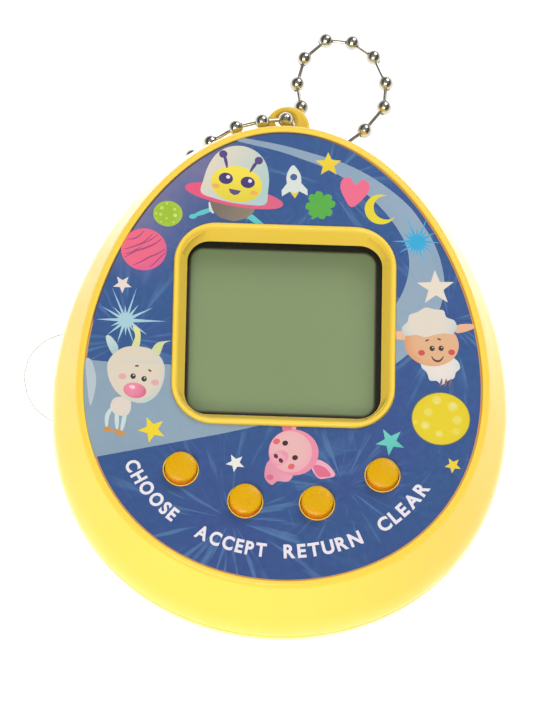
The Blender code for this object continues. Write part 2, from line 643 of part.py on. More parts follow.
def make_pull_tab(finish):
    """A strip of film with a round end, from between the contacts to outside the left side."""
    outline = []
    centre_x = TAB_END_X + TAB_HALF_WIDTH
    for step in range(17):
        angle = math.pi * (0.5 + step / 16.0)
        x = centre_x + TAB_HALF_WIDTH * math.cos(angle)
        outline.append((x, TAB_Y + TAB_HALF_WIDTH * math.sin(angle)))
    outline.append((TAB_INNER_X, TAB_Y - TAB_HALF_WIDTH))
    outline.append((TAB_INNER_X, TAB_Y + TAB_HALF_WIDTH))
    prism("pull_tab", outline, *TAB_Z, finish, (TAB_END_X, TAB_Y, TAB_Z[0]))


def make_screw(name, place, head_bottom, head_top, tip, finish, origin=(0.0, 0.0, 0.0)):
    """A pan-head screw standing on its head."""
    profile = [
        (SCREW_HEAD_RADIUS - 0.3 * MM, head_bottom), (SCREW_HEAD_RADIUS, head_bottom + 0.3 * MM),
        (SCREW_HEAD_RADIUS, head_top), (SCREW_SHAFT_RADIUS, head_top),
        (SCREW_SHAFT_RADIUS, tip - 0.8 * MM), (0.1 * MM, tip),
    ]
    return turned(name, place, profile, finish, origin, 12)


def make_screws(finish):
    """Four casing screws from the back and two that hold the board."""
    for name, place in CASE_BOSSES.items():
        make_screw("case_screw_" + name, place, 1.5 * MM, SCREW_SHELF_Z - GAP, CASE_SCREW_TIP_Z, finish)
    for name, place in BOARD_POSTS.items():
        under = BOARD_Z[0] - GAP
        make_screw("board_screw_" + name, place, under - 0.8 * MM, under, BOARD_SCREW_TIP_Z, finish)


def make_sounder(finishes):
    """A brass disc with its ceramic on top and two wires up to the board."""
    plate_top = BUZZER_Z + BUZZER_THICKNESS
    plate = [(BUZZER_RADIUS, BUZZER_Z), (BUZZER_RADIUS, plate_top)]
    turned("buzzer_plate", BUZZER_CENTRE, plate, finishes["brass"])
    bottom = plate_top + GAP
    ceramic = [(CERAMIC_RADIUS, bottom), (CERAMIC_RADIUS, bottom + BUZZER_THICKNESS)]
    turned("buzzer_ceramic", BUZZER_CENTRE, ceramic, finishes["ceramic"])
    under = BOARD_Z[0] - GAP
    routes = {
        "red": [
            (1.0, 10.1, 3.1), (1.1, 10.1, 4.2), (2.0, 9.8, 5.4), (3.4, 9.5, 6.6), (4.0, 9.4, 7.8),
        ],
        "black": [
            (-3.7, 10.3, 2.6), (-3.8, 10.3, 3.8), (-4.2, 10.0, 5.2), (-4.5, 9.7, 6.6), (-4.4, 9.4, 7.8),
        ],
    }
    for colour, route in routes.items():
        points = [Vector(point) * MM for point in route]
        points.append(Vector((points[-1].x, points[-1].y, under)))
        finish = finishes["red"] if colour == "red" else finishes["black"]
        tube("buzzer_wire_" + colour, [(point, WIRE_RADIUS) for point in points], finish, 6)


# ---------------------------------------------------------------- chain

def bead_stations(centres, pivot):
    """Stations of a run of balls joined by links, starting just outside the pivot ball."""
    stations = []
    cap = 0.94 * BALL_RADIUS
    shoulder = 0.64 * BALL_RADIUS
    previous = pivot
    for number, centre in enumerate(centres):
        if previous is not None:
            along = (centre - previous).normalized()
            if number == 0:
                stations.append((previous + along * (BALL_RADIUS + GAP), LINK_RADIUS))
            stations.append((centre - along * cap, LINK_RADIUS))
            stations.append((centre - along * shoulder, 0.77 * BALL_RADIUS))
        else:
            along = (centres[1] - centre).normalized()
            stations.append((centre - along * cap, LINK_RADIUS))
            stations.append((centre - along * shoulder, 0.77 * BALL_RADIUS))
        stations.append((centre, BALL_RADIUS))
        onward = (centres[number + 1] - centre).normalized() if number + 1 < len(centres) else along
        stations.append((centre + onward * shoulder, 0.77 * BALL_RADIUS))
        stations.append((centre + onward * cap, LINK_RADIUS))
        previous = centre
    return stations


def make_chain(finish):
    """The ball chain in four runs, each pivoting on the ball before it, and its clasp."""
    hole_ball = Vector(HOLE_BALL) * MM
    left = [Vector(point) * MM for point in LEFT_BALLS]
    right = [Vector(point) * MM for point in RIGHT_BALLS]
    runs = {
        "chain_left": (left[:LEFT_SPLIT], hole_ball),
        "chain_left_end": (left[LEFT_SPLIT:], left[LEFT_SPLIT - 1]),
        "chain_right": ([hole_ball] + right[:RIGHT_SPLIT], None),
        "chain_loop": (right[RIGHT_SPLIT:], right[RIGHT_SPLIT - 1]),
    }
    for name, (centres, pivot) in runs.items():
        origin = pivot if pivot is not None else hole_ball
        tube(name, bead_stations(centres, pivot), finish, CHAIN_SIDES, origin)
    make_clasp(finish, right[RIGHT_SPLIT - 1])


def make_clasp(finish, origin):
    """The barrel clasp that closes the chain, lying under the casing's overhang."""
    half = 0.5 * CLASP_LENGTH
    middle = Vector(CLASP_CENTRE)
    ends = [(-half, 0.7), (-0.86 * half, 1.0), (0.86 * half, 1.0), (half, 0.7)]
    stations = [(middle + Vector((x, 0.0, 0.0)), share * CLASP_RADIUS) for x, share in ends]
    tube("chain_clasp", stations, finish, 12, origin)


def clear_scene():
    for thing in list(bpy.data.objects):
        bpy.data.objects.remove(thing)


def main():
    clear_scene()
    finishes = make_finishes()
    make_front_shell(finishes["shell"])
    make_rear_shell(finishes["shell"])
    make_face_label(finishes["label"])
    make_display(finishes)
    make_board(finishes)
    make_buttons(finishes)
    make_power(finishes)
    make_screws(finishes["steel"])
    make_sounder(finishes)
    make_chain(finishes["chrome"])


main()
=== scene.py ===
"""The looks of the virtual pet keychain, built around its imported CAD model.

The frame is the CAD model's: +X right, +Y to the chain lug, +Z out of the face. Shapes are in
millimetres until their points become a mesh; the camera, the lights and the floor are in metres.
"""
import math

import bmesh
import bpy
from mathutils import Matrix, Vector
from mathutils.geometry import delaunay_2d_cdt


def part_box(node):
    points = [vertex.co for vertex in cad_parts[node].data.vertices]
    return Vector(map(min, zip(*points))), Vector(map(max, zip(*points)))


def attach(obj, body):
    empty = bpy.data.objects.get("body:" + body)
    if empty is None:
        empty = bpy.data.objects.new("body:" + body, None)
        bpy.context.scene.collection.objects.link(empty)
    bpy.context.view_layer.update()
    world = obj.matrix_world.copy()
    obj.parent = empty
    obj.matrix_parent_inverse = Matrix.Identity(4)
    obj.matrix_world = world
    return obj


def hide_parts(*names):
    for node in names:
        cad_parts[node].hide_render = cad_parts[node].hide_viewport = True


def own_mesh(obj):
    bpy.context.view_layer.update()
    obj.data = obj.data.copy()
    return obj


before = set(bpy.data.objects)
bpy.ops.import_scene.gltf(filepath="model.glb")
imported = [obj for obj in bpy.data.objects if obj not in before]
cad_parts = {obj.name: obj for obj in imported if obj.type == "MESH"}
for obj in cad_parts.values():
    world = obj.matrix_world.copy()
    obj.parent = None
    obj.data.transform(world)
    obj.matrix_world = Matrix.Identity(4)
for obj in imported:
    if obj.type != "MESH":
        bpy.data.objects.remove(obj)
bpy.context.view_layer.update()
MM = 0.001


def box(node):
    """Lowest and highest corner of a CAD node in millimetres."""
    low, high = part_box(node)
    return low / MM, high / MM


def middle(node):
    """Centre of a CAD node's box, seen from the front."""
    low, high = box(node)
    return (0.5 * (low.x + high.x), 0.5 * (low.y + high.y))


# Camera: tilted from the face's normal towards the bottom, turned a little and rolled
CAMERA_TILT = math.radians(21.0)
CAMERA_TURN = math.radians(-1.9)
CAMERA_ROLL = math.radians(1.8)
CAMERA_DISTANCE = 0.7
CAMERA_LENS = 355.8
CAMERA_AIM = Vector((-1.72, -3.34, 16.8)) * MM

# Egg outline of the face and side profile of the casing, as in the CAD model
EGG_WIDTH = 39.1
EGG_HEIGHT = 47.7
EGG_TAPER = 0.14
EGG_SQUARENESS = 0.03
EGG_CENTRE_Y = -3.1
EGG_SIDES = 176
SIDE_RADIUS = 9.0
SIDE_BULGE = 3.15
WIDEST_Z = 9.0
SIDE_LEAN = math.radians(21.0)
WALL = 1.4

# Casing details
PARTING_Z = 8.6
SEAM_GAP = 0.06                # half the width of the seam between the two halves
SEAM_ROUNDING = 0.12
TONGUE = 0.6                   # thickness of the lip inside the seam
TONGUE_TOP_Z = 9.5
RIM_ROUNDING = 0.66
RIM_INNER_ROUNDING = 0.14
RIM_TOP_Z = box("front_shell")[1].z - 0.15
RIM_INNER_OFFSET = 0.12
FACE_INNER_Z = 15.0
FLOOR_Z = box("face_label")[0].z
LABEL_THICKNESS = 0.12
LABEL_TOP_Z = FLOOR_Z + LABEL_THICKNESS
BACK_WALL = 1.5
BACK_FLAT_OFFSET = -4.6
BACK_INNER_OFFSET = -4.25
SHARP_ANGLE = math.radians(34.0)

# Lug for the chain
LUG_CENTRE = (0.35, 25.3)
LUG_RADIUS = 2.25
LUG_FLARE = 0.5
LUG_ROOT_Y = 21.0
LUG_Z = (6.0, 7.9)
LUG_HOLE_RADIUS = 1.05

# Posts inside the front half, and the battery bay, lid and sounder in the rear half
POST_RADIUS = 1.9
BOARD_POST_RADIUS = 1.4
BOARD_POST_FOOT_Z = 10.5
ROOF_JOIN_Z = 15.3
BORE_RADIUS = 0.9
BORE_TOP_Z = 13.3
WELL_RADIUS = 1.7
WELL_TOP_Z = 3.0
BAY_SIZE = (25.2, 13.4)
BAY_WALL = 1.0
BAY_TOP_Z = 7.9
LID_SIZE = (24.6, 12.8)
LID_THICKNESS = 1.2
EAR_PLACE = middle("battery_door_screw")
EAR_RADIUS = 2.6
EAR_SEAT_RADIUS = 2.9
SLOT_ROOM = 0.3
SOUNDER_PLACE = middle("buzzer_plate")
SOUNDER_SEAT_RADIUS = 4.8
SOUND_HOLE_RADIUS = 0.5
SOUND_HOLE_RING = 2.2           # distance of six of the sound holes from the seventh

# Window
BEZEL_SIZE = (22.3, 21.5)
BEZEL_RADIUS = 4.3
BEZEL_TOP_Z = box("front_shell")[1].z
BEZEL_FOOT_Z = 15.35
WINDOW_SIZE = (19.6, 18.6)
WINDOW_RADIUS = 2.3
WINDOW_EDGE_Z = 15.5
BEZEL_SLOPE = 1.35
ROOF_OPENING = (21.0, 20.2)
PANE_EDGE = 0.15
DISPLAY_OPENING = (19.0, 17.85)
DISPLAY_CENTRE = (-0.1, 0.46)
FILM_THICKNESS = 0.15

# Buttons
BUTTON_NAMES = ("choose", "accept", "return", "clear")
BUTTON_RADIUS = 1.59
FLANGE_RADIUS = 2.5
HOLE_RADIUS = 1.66
COLLAR_RADIUS = 1.78
COLLAR_HEIGHT = 0.07
LABEL_HOLE_RADIUS = 1.81
BUTTON_CROWN = [                # steps from the cap's side and from its top
    (0.0, -0.36), (-0.02, -0.29), (-0.07, -0.22), (-0.16, -0.16), (-0.34, -0.1), (-0.64, -0.045),
    (-1.09, -0.012), (-1.47, 0.0),
]

# Screws
CASE_HEAD_HEIGHT = 1.2
BOARD_HEAD_HEIGHT = 0.8
LID_HEAD_HEIGHT = 0.6
SHAFT_RADIUS = 0.46
THREAD_RADIUS = 0.6
THREAD_PITCH = 0.45

# Ball chain: the same balls as in the CAD model
BALL_RADIUS = 0.8
LINK_RADIUS = 0.21
HOLE_BALL = (0.1, 25.9, 8.05)
LEFT_BALLS = [
    (-2.35, 25.35, 8.7), (-5.0, 24.95, 7.8), (-7.5, 23.8, 6.4), (-9.3, 23.0, 4.4),
    (-10.3, 21.3, 2.5), (-9.1, 19.8, 0.85), (-6.5, 20.3, 0.75), (-3.9, 21.3, 0.75),
]
RIGHT_BALLS = [
    (0.5, 26.2, 5.3), (0.95, 26.8, 2.9), (1.3, 27.9, 0.85), (1.95, 30.4, 0.75),
    (1.5, 33.0, 0.75), (2.2, 35.9, 0.75), (4.4, 38.0, 0.75), (7.15, 37.85, 0.75),
    (9.4, 36.3, 0.75), (10.7, 33.4, 0.75), (10.55, 30.7, 0.75), (8.55, 28.05, 0.75),
    (6.3, 26.2, 0.75), (5.9, 23.7, 0.75), (4.1, 22.1, 0.75),
]
LEFT_SPLIT = 4
RIGHT_SPLIT = 6

BUTTON_PLACES = {name: middle("button_" + name) for name in BUTTON_NAMES}
CASE_SCREWS = {name: middle("case_screw_" + name) for name in ("top", "left", "right", "bottom")}
BOARD_SCREWS = {name: middle("board_screw_" + name) for name in ("left", "right")}


# ---------------------------------------------------------------- colours and materials

def srgb(red, green, blue):
    """Linear colour of three screen values from 0 to 255."""
    linear = []
    for level in (red, green, blue):
        share = level / 255.0
        linear.append(share / 12.92 if share <= 0.04045 else ((share + 0.055) / 1.055) ** 2.4)
    return tuple(linear)


def clamp(value):
    """Keep a value from 0 to 1."""
    return min(max(value, 0.0), 1.0)


def blend(first, second, share):
    """A colour between two, with the share kept from 0 to 1."""
    return tuple(a + (b - a) * clamp(share) for a, b in zip(first, second))


class Finish:
    """A material around one Principled shader, with short ways to add texture nodes."""

    def __init__(self, name, colour, roughness, metallic=0.0):
        self.material = bpy.data.materials.new(name)
        self.material.use_nodes = True
        self.tree = self.material.node_tree
        self.shader = self.tree.nodes["Principled BSDF"]
        self.set("Base Color", (*colour, 1.0))
        self.set("Roughness", roughness)
        self.set("Metallic", metallic)
        self.place = self.millimetres()

    def set(self, socket, value):
        self.shader.inputs[socket].default_value = value

    def add(self, kind, **settings):
        node = self.tree.nodes.new(kind)
        for name, value in settings.items():
            setattr(node, name, value)
        return node

    def feed(self, socket, source):
        """Link a source into a socket, or set the socket to a plain value."""
        if isinstance(source, bpy.types.NodeSocket):
            self.tree.links.new(source, socket)
        else:
            socket.default_value = source

    def millimetres(self):
        """Object coordinates scaled from metres to millimetres."""
        coordinates = self.add("ShaderNodeTexCoord")
        scaled = self.add("ShaderNodeVectorMath", operation="SCALE")
        scaled.inputs["Scale"].default_value = 1.0 / MM
        self.feed(scaled.inputs[0], coordinates.outputs["Object"])
        return scaled.outputs[0]

    def math(self, operation, first, second=0.0, clamp=False):
        node = self.add("ShaderNodeMath", operation=operation, use_clamp=clamp)
        self.feed(node.inputs[0], first)
        self.feed(node.inputs[1], second)
        return node.outputs[0]

    def times(self, first, second):
        return self.math("MULTIPLY", first, second)

    def split(self, vector):
        """The x, y and z of a vector."""
        node = self.add("ShaderNodeSeparateXYZ")
        self.feed(node.inputs[0], vector)
        return node.outputs

    def stretch(self, factor, low, high, to_low=0.0, to_high=1.0):
        """Map a range of values to another, smoothly and without overshoot."""
        node = self.add("ShaderNodeMapRange", interpolation_type="SMOOTHSTEP")
        for socket, value in zip(node.inputs[:5], (factor, low, high, to_low, to_high)):
            self.feed(socket, value)
        return node.outputs[0]

    def noise(self, scale, detail=2.0, where=None):
        """Noise with about this many features to the millimetre."""
        node = self.add("ShaderNodeTexNoise")
        self.feed(node.inputs["Vector"], where or self.place)
        node.inputs["Scale"].default_value = scale
        node.inputs["Detail"].default_value = detail
        return node.outputs[0]

    def mix(self, factor, first, second):
        node = self.add("ShaderNodeMix", data_type="RGBA")
        colours = [(*c, 1.0) if isinstance(c, tuple) else c for c in (first, second)]
        self.feed(node.inputs[0], factor)
        self.feed(node.inputs[6], colours[0])
        self.feed(node.inputs[7], colours[1])
        return node.outputs[2]

    def paint(self, colour):
        self.feed(self.shader.inputs["Base Color"], colour)

    def vary_roughness(self, factor, low, high):
        self.feed(self.shader.inputs["Roughness"], self.stretch(factor, 0.3, 0.7, low, high))

    def bump(self, height, depth, strength=1.0):
        """Surface relief of about this depth in millimetres."""
        node = self.add("ShaderNodeBump")
        node.inputs["Distance"].default_value = depth * MM
        node.inputs["Strength"].default_value = strength
        self.feed(node.inputs["Height"], height)
        self.feed(self.shader.inputs["Normal"], node.outputs[0])

    def glow_through(self, weight, scale, radius):
        """Light scattering under the surface of a translucent plastic."""
        self.set("Subsurface Weight", weight)
        self.set("Subsurface Scale", scale * MM)
        self.set("Subsurface Radius", radius)

    def coat(self, weight, roughness):
        self.set("Coat Weight", weight)
        self.set("Coat Roughness", roughness)


def shell_finish():
    """Yellow moulded plastic, glossier where it turns away."""
    finish = Finish("shell_plastic", srgb(252, 214, 80), 0.35)
    clouds = finish.noise(0.12, 3.0)
    finish.paint(finish.mix(clouds, srgb(251, 211, 74), srgb(253, 217, 86)))
    finish.vary_roughness(finish.noise(0.3, 2.0), 0.32, 0.4)
    finish.set("Specular IOR Level", 0.18)
    facing = finish.add("ShaderNodeLayerWeight").outputs["Facing"]
    finish.set("Coat Roughness", 0.14)
    finish.feed(finish.shader.inputs["Coat Weight"], finish.stretch(facing, 0.73, 0.95, 0.12, 1.0))
    return finish.material


def amber_finish():
    """Translucent amber plastic of the button caps, with painted shade: a deeper orange down their sides."""
    finish = Finish("button_plastic", srgb(225, 174, 2), 0.32)
    height = finish.split(finish.place)[2]
    top = finish.mix(finish.noise(0.5, 3.0), srgb(222, 170, 1), srgb(228, 178, 3))
    # painted shade: below the top of the cap its colour turns a deeper orange
    finish.paint(finish.mix(finish.stretch(height, 17.3, 17.66), srgb(244, 140, 0), top))
    finish.vary_roughness(finish.noise(2.5, 4.0), 0.3, 0.42)
    finish.bump(finish.noise(14.0, 2.0), 0.0012)
    finish.glow_through(0.7, 0.9, (1.0, 0.4, 0.03))
    finish.set("Specular IOR Level", 0.22)
    return finish.material


def foil_burst(finish, centre, reach, spokes, seed):
    """Thin rays of light in the foil that run out from a centre, in millimetres."""
    moved = finish.add("ShaderNodeVectorMath", operation="SUBTRACT")
    finish.feed(moved.inputs[0], finish.place)
    moved.inputs[1].default_value = (*centre, 0.0)
    x, y = finish.split(moved.outputs[0])[:2]
    turn = finish.math("ARCTAN2", y, x)
    square = finish.math("ADD", finish.times(x, x), finish.times(y, y))
    distance = finish.math("SQRT", square)
    along = finish.add("ShaderNodeCombineXYZ")
    finish.feed(along.inputs[0], finish.math("ADD", turn, finish.times(distance, 0.006)))
    finish.feed(along.inputs[1], finish.times(distance, 0.014))
    along.inputs[2].default_value = seed
    rays = finish.stretch(finish.noise(spokes, 2.0, along.outputs[0]), 0.54, 0.7)
    near = finish.stretch(distance, 0.4, 1.6)
    far = finish.stretch(distance, reach, 0.35 * reach)
    return finish.times(rays, finish.times(near, far))


def label_finish():
    """Printed foil label: inks and painted light from the mesh, with ray-shaped glints where the foil shows.
    """
    finish = Finish("printed_foil", srgb(66, 90, 140), 0.3)
    ink_and_painted_light = finish.add("ShaderNodeVertexColor", layer_name="ink_and_painted_light").outputs["Color"]
    foil = finish.add("ShaderNodeAttribute", attribute_name="foil").outputs["Fac"]
    bursts = [
        ((-5.0, -20.7), 17.0, 9.0, 1.0),
        ((6.2, -16.9), 10.0, 10.0, 4.0),
        ((4.1, 15.4), 9.0, 9.0, 7.0),
        ((-15.5, -2.0), 11.0, 6.0, 11.0),
        ((16.5, 1.0), 16.0, 7.0, 15.0),
    ]
    glints = 0.0
    for centre, reach, spokes, seed in bursts:
        glints = finish.math("ADD", glints, foil_burst(finish, centre, reach, spokes, seed))
    # painted glints: faint lighter lines along the foil's creases, added to the rays
    crease_glints = finish.add("ShaderNodeTexVoronoi", feature="DISTANCE_TO_EDGE")
    finish.feed(crease_glints.inputs["Vector"], finish.place)
    crease_glints.inputs["Scale"].default_value = 0.33
    lines = finish.stretch(crease_glints.outputs[0], 0.03, 0.0)
    patches = finish.stretch(finish.noise(0.16, 2.0), 0.52, 0.68)
    lines = finish.times(lines, finish.times(patches, 0.5))
    glints = finish.times(finish.math("ADD", glints, lines, True), foil)
    clouds = finish.times(finish.stretch(finish.noise(0.11, 2.0), 0.35, 0.7), foil)
    tone = finish.mix(finish.times(clouds, 0.45), ink_and_painted_light, srgb(44, 92, 142))
    finish.paint(finish.mix(finish.times(glints, 0.5), tone, srgb(100, 146, 192)))
    finish.feed(finish.shader.inputs["Metallic"], finish.times(foil, 0.3))
    finish.vary_roughness(finish.noise(1.5, 3.0), 0.3, 0.42)
    finish.coat(0.6, 0.08)
    finish.bump(finish.noise(0.35, 2.0), 0.006)
    return finish.material


def print_finish():
    """White screen-printed ink."""
    finish = Finish("white_print", srgb(232, 226, 230), 0.4)
    finish.paint(finish.mix(finish.noise(5.0, 3.0), srgb(226, 219, 226), srgb(238, 232, 236)))
    finish.coat(0.4, 0.1)
    return finish.material


def display_finish():
    """Grey-green film of the liquid crystal display, darkened by painted shadow where its frame begins."""
    finish = Finish("display_film", srgb(128, 146, 100), 0.42)
    ink_and_painted_light = finish.add("ShaderNodeVertexColor", layer_name="ink_and_painted_light").outputs["Color"]
    fine = finish.noise(6.0, 4.0)
    wide = finish.noise(0.08, 1.0)
    grain = finish.math("ADD", finish.times(fine, 0.5), finish.times(wide, 0.5))
    shade = finish.add("ShaderNodeMix", data_type="RGBA", blend_type="MULTIPLY")
    shade.inputs[0].default_value = 1.0
    finish.feed(shade.inputs[6], ink_and_painted_light)
    finish.feed(shade.inputs[7], finish.mix(grain, (0.88, 0.9, 0.88), (1.0, 1.0, 1.0)))
    finish.paint(shade.outputs[2])
    finish.vary_roughness(fine, 0.38, 0.5)
    return finish.material


def clear_finish(name, alpha, tint, gloss):
    """Polished clear plastic."""
    finish = Finish(name, tint, 0.04)
    finish.vary_roughness(finish.noise(1.2, 3.0), 0.02, 0.07)
    finish.set("Alpha", alpha)
    finish.set("Specular IOR Level", gloss)
    return finish.material


def metal_finish(name, dark, bright, rough_low, rough_high, scale, streak=1.0):
    """Metal with fine wear: streak above 1 draws the marks out into brushed lines."""
    finish = Finish(name, bright, rough_low, 1.0)
    drawn = finish.add("ShaderNodeMapping")
    drawn.inputs["Scale"].default_value = (1.0, streak, 1.0)
    finish.feed(drawn.inputs["Vector"], finish.place)
    wear = finish.noise(scale, 5.0, drawn.outputs[0])
    finish.paint(finish.mix(wear, dark, bright))
    finish.vary_roughness(wear, rough_low, rough_high)
    finish.bump(wear, 0.0012)
    return finish.material


def matte_finish(name, dark, bright, rough_low, rough_high, scale, relief):
    """Plain plastic, rubber, resin or ceramic with fine grain."""
    finish = Finish(name, bright, rough_high)
    grain = finish.noise(scale, 4.0)
    finish.paint(finish.mix(grain, dark, bright))
    finish.vary_roughness(grain, rough_low, rough_high)
    finish.bump(grain, relief)
    return finish.material


def board_finish():
    """Green solder mask with copper tracks running under it."""
    finish = Finish("solder_mask", srgb(18, 92, 48), 0.35)
    tracks = finish.add("ShaderNodeTexBrick", offset=0.4)
    finish.feed(tracks.inputs["Vector"], finish.place)
    tracks.inputs["Scale"].default_value = 0.5
    tracks.inputs["Mortar Size"].default_value = 0.05
    tracks.inputs["Mortar Smooth"].default_value = 0.2
    lines = tracks.outputs["Fac"]
    routed = finish.times(lines, finish.stretch(finish.noise(0.2, 1.0), 0.42, 0.5))
    base = finish.mix(finish.noise(1.0, 3.0), srgb(14, 78, 40), srgb(22, 98, 52))
    finish.paint(finish.mix(routed, base, srgb(52, 140, 74)))
    finish.bump(routed, 0.02, 0.6)
    finish.coat(0.5, 0.15)
    return finish.material


def make_finishes():
    return {
        "shell": shell_finish(),
        "button": amber_finish(),
        "label": label_finish(),
        "print": print_finish(),
        "display": display_finish(),
        "pane": clear_finish("window_plastic", 0.03, srgb(120, 128, 110), 0.15),
        "film": clear_finish("tab_film", 0.2, srgb(232, 234, 230), 0.5),
        # painted shade: the film's cut edge is tinted darker grey and less clear
        "film_edge": clear_finish("tab_film_edge", 0.6, srgb(136, 138, 138), 0.5),
        "glass": matte_finish(
            "display_glass", srgb(96, 112, 84), srgb(108, 124, 92), 0.08, 0.14, 0.5, 0.0005),
        "nickel": metal_finish(
            "nickel_plate", srgb(176, 173, 164), srgb(208, 205, 196), 0.1, 0.2, 1.6),
        "steel": metal_finish(
            "bright_steel", srgb(168, 170, 172), srgb(206, 207, 208), 0.18, 0.34, 1.5, 6.0),
        "brass": metal_finish(
            "plain_brass", srgb(196, 158, 80), srgb(226, 190, 108), 0.2, 0.36, 1.2, 4.0),
        "reflector": metal_finish(
            "silver_film", srgb(190, 192, 188), srgb(214, 215, 210), 0.35, 0.5, 2.0, 2.0),
        "black": matte_finish(
            "black_plastic", srgb(18, 18, 19), srgb(30, 30, 31), 0.42, 0.6, 5.0, 0.004),
        "rubber": matte_finish(
            "grey_rubber", srgb(112, 112, 115), srgb(132, 132, 134), 0.6, 0.8, 4.0, 0.006),
        "resin": matte_finish(
            "black_resin", srgb(12, 12, 13), srgb(24, 24, 25), 0.12, 0.3, 0.9, 0.02),
        "ceramic": matte_finish(
            "white_ceramic", srgb(222, 218, 205), srgb(238, 234, 224), 0.35, 0.5, 3.0, 0.003),
        "red": matte_finish(
            "red_insulation", srgb(168, 22, 16), srgb(192, 30, 22), 0.35, 0.5, 3.0, 0.003),
        "board": board_finish(),
    }


# ---------------------------------------------------------------- outlines

def egg_point(angle, offset):
    """A point of the face's egg outline moved outwards by offset, and its outward direction."""
    sine, cosine = math.sin(angle), math.cos(angle)
    width = 1.0 - EGG_TAPER * sine + EGG_SQUARENESS * sine * sine
    slope = -EGG_TAPER * cosine + 2.0 * EGG_SQUARENESS * sine * cosine
    along_x = 0.5 * EGG_WIDTH * (-sine * width + cosine * slope)
    along_y = 0.5 * EGG_HEIGHT * cosine
    length = math.hypot(along_x, along_y)
    outward = Vector((along_y / length, -along_x / length))
    edge = Vector((0.5 * EGG_WIDTH * cosine * width, 0.5 * EGG_HEIGHT * sine + EGG_CENTRE_Y))
    return edge + offset * outward, outward


def egg_outline(offset):
    turns = [2.0 * math.pi * step / EGG_SIDES for step in range(EGG_SIDES)]
    return [tuple(egg_point(turn, offset)[0]) for turn in turns]


def polar(centre, radius, degrees):
    """The point at some distance and direction from a centre."""
    angle = math.radians(degrees)
    return (centre[0] + radius * math.cos(angle), centre[1] + radius * math.sin(angle))


def arc(centre, radius, start, end, steps):
    """Points of an arc between two directions in degrees."""
    return [polar(centre, radius, start + (end - start) * step / steps) for step in range(steps + 1)]


def circle_outline(centre, radius, sides=48):
    """Points all round a circle."""
    return arc(centre, radius, 0.0, 360.0, sides)[:-1]


def rounded_outline(centre, size, radius, corner_steps=14):
    """A rectangle with round corners."""
    half_x = 0.5 * size[0] - radius
    half_y = 0.5 * size[1] - radius
    corners = [(half_x, half_y), (-half_x, half_y), (-half_x, -half_y), (half_x, -half_y)]
    points = []
    for number, (x, y) in enumerate(corners):
        corner = (centre[0] + x, centre[1] + y)
        points += arc(corner, radius, 90.0 * number, 90.0 * (number + 1), corner_steps)
    return points


def side_point(angle, inset=0.0):
    """Offset and height of the casing's bulging side at an angle from its widest line."""
    radius = SIDE_RADIUS - inset
    return SIDE_BULGE - SIDE_RADIUS + radius * math.cos(angle), WIDEST_Z + radius * math.sin(angle)


def leaning_offset(z, inset=0.0):
    """Offset of the straight leaning wall above the bulge at height z."""
    offset, start_z = side_point(SIDE_LEAN)
    return offset - (z - start_z) * math.tan(SIDE_LEAN) - inset / math.cos(SIDE_LEAN)


# ---------------------------------------------------------------- solids

def add_piece(name, builder, finish):
    """Turn a bmesh into a smooth-shaded object."""
    bmesh.ops.recalc_face_normals(builder, faces=builder.faces)
    mesh = bpy.data.meshes.new(name)
    builder.to_mesh(mesh)
    builder.free()
    piece = bpy.data.objects.new(name, mesh)
    bpy.context.scene.collection.objects.link(piece)
    if finish:
        mesh.materials.append(finish)
    smooth(piece)
    return piece


def smooth(piece):
    piece.data.shade_smooth()
    piece.data.set_sharp_from_angle(angle=SHARP_ANGLE)


def weigh_normals(piece):
    """Keep flat faces flat next to rounded edges."""
    modifier = piece.modifiers.new("weighted_normals", "WEIGHTED_NORMAL")
    modifier.keep_sharp = True


def bridge(builder, rows, ring_shaped=False):
    """Join closed rows of points with faces; the last row joins the first one or both are filled."""
    corners = [[builder.verts.new(point * MM) for point in row] for row in rows]
    pairs = list(zip(corners, corners[1:]))
    if ring_shaped:
        pairs.append((corners[-1], corners[0]))
    for lower, upper in pairs:
        for step in range(len(lower)):
            following = (step + 1) % len(lower)
            builder.faces.new((lower[step], lower[following], upper[following], upper[step]))
    if not ring_shaped:
        builder.faces.new(corners[0])
        builder.faces.new(corners[-1])


def add_rings(builder, rings, ring_shaped=False):
    """Join outlines at given heights into one closed solid."""
    rows = [[Vector((x, y, z)) for x, y in outline] for outline, z in rings]
    bridge(builder, rows, ring_shaped)


def loft(name, rings, finish=None, ring_shaped=False):
    builder = bmesh.new()
    add_rings(builder, rings, ring_shaped)
    return add_piece(name, builder, finish)


def stepped(radius, z, steps):
    """A profile from steps outwards and upwards, all counted from one radius and height."""
    return [(radius + outwards, z + upwards) for outwards, upwards in steps]


def turned_rings(centre, profile, sides=48):
    return [(circle_outline(centre, radius, sides), z) for radius, z in profile]


def turned(name, centre, profile, finish, sides):
    """A solid turned about a vertical axis: profile is a list of (radius, z)."""
    return loft(name, turned_rings(centre, profile, sides), finish)


def columns(places, radius, bottom, top, sides):
    """Round columns with flat ends, at several places."""
    return [turned_rings(place, [(radius, bottom), (radius, top)], sides) for place in places]


def group(name, ring_sets):
    """Several separate solids in one tool."""
    builder = bmesh.new()
    for rings in ring_sets:
        add_rings(builder, rings)
    return add_piece(name, builder, None)


def carve(piece, tool, operation="DIFFERENCE"):
    """Cut a tool out of a piece, or join it on, and remove the tool."""
    modifier = piece.modifiers.new("carve", "BOOLEAN")
    modifier.operation = operation
    modifier.solver = "EXACT"
    modifier.object = tool
    bpy.context.view_layer.update()
    graph = bpy.context.evaluated_depsgraph_get()
    result = bpy.data.meshes.new_from_object(piece.evaluated_get(graph))
    piece.modifiers.clear()
    piece.data = result
    bpy.data.objects.remove(tool)
    smooth(piece)


def install(piece, body, slot, *nodes):
    """Let a piece ride on a body and stand for CAD nodes; slot is not used."""
    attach(piece, body)
    if nodes:
        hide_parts(*nodes)


# ---------------------------------------------------------------- casing

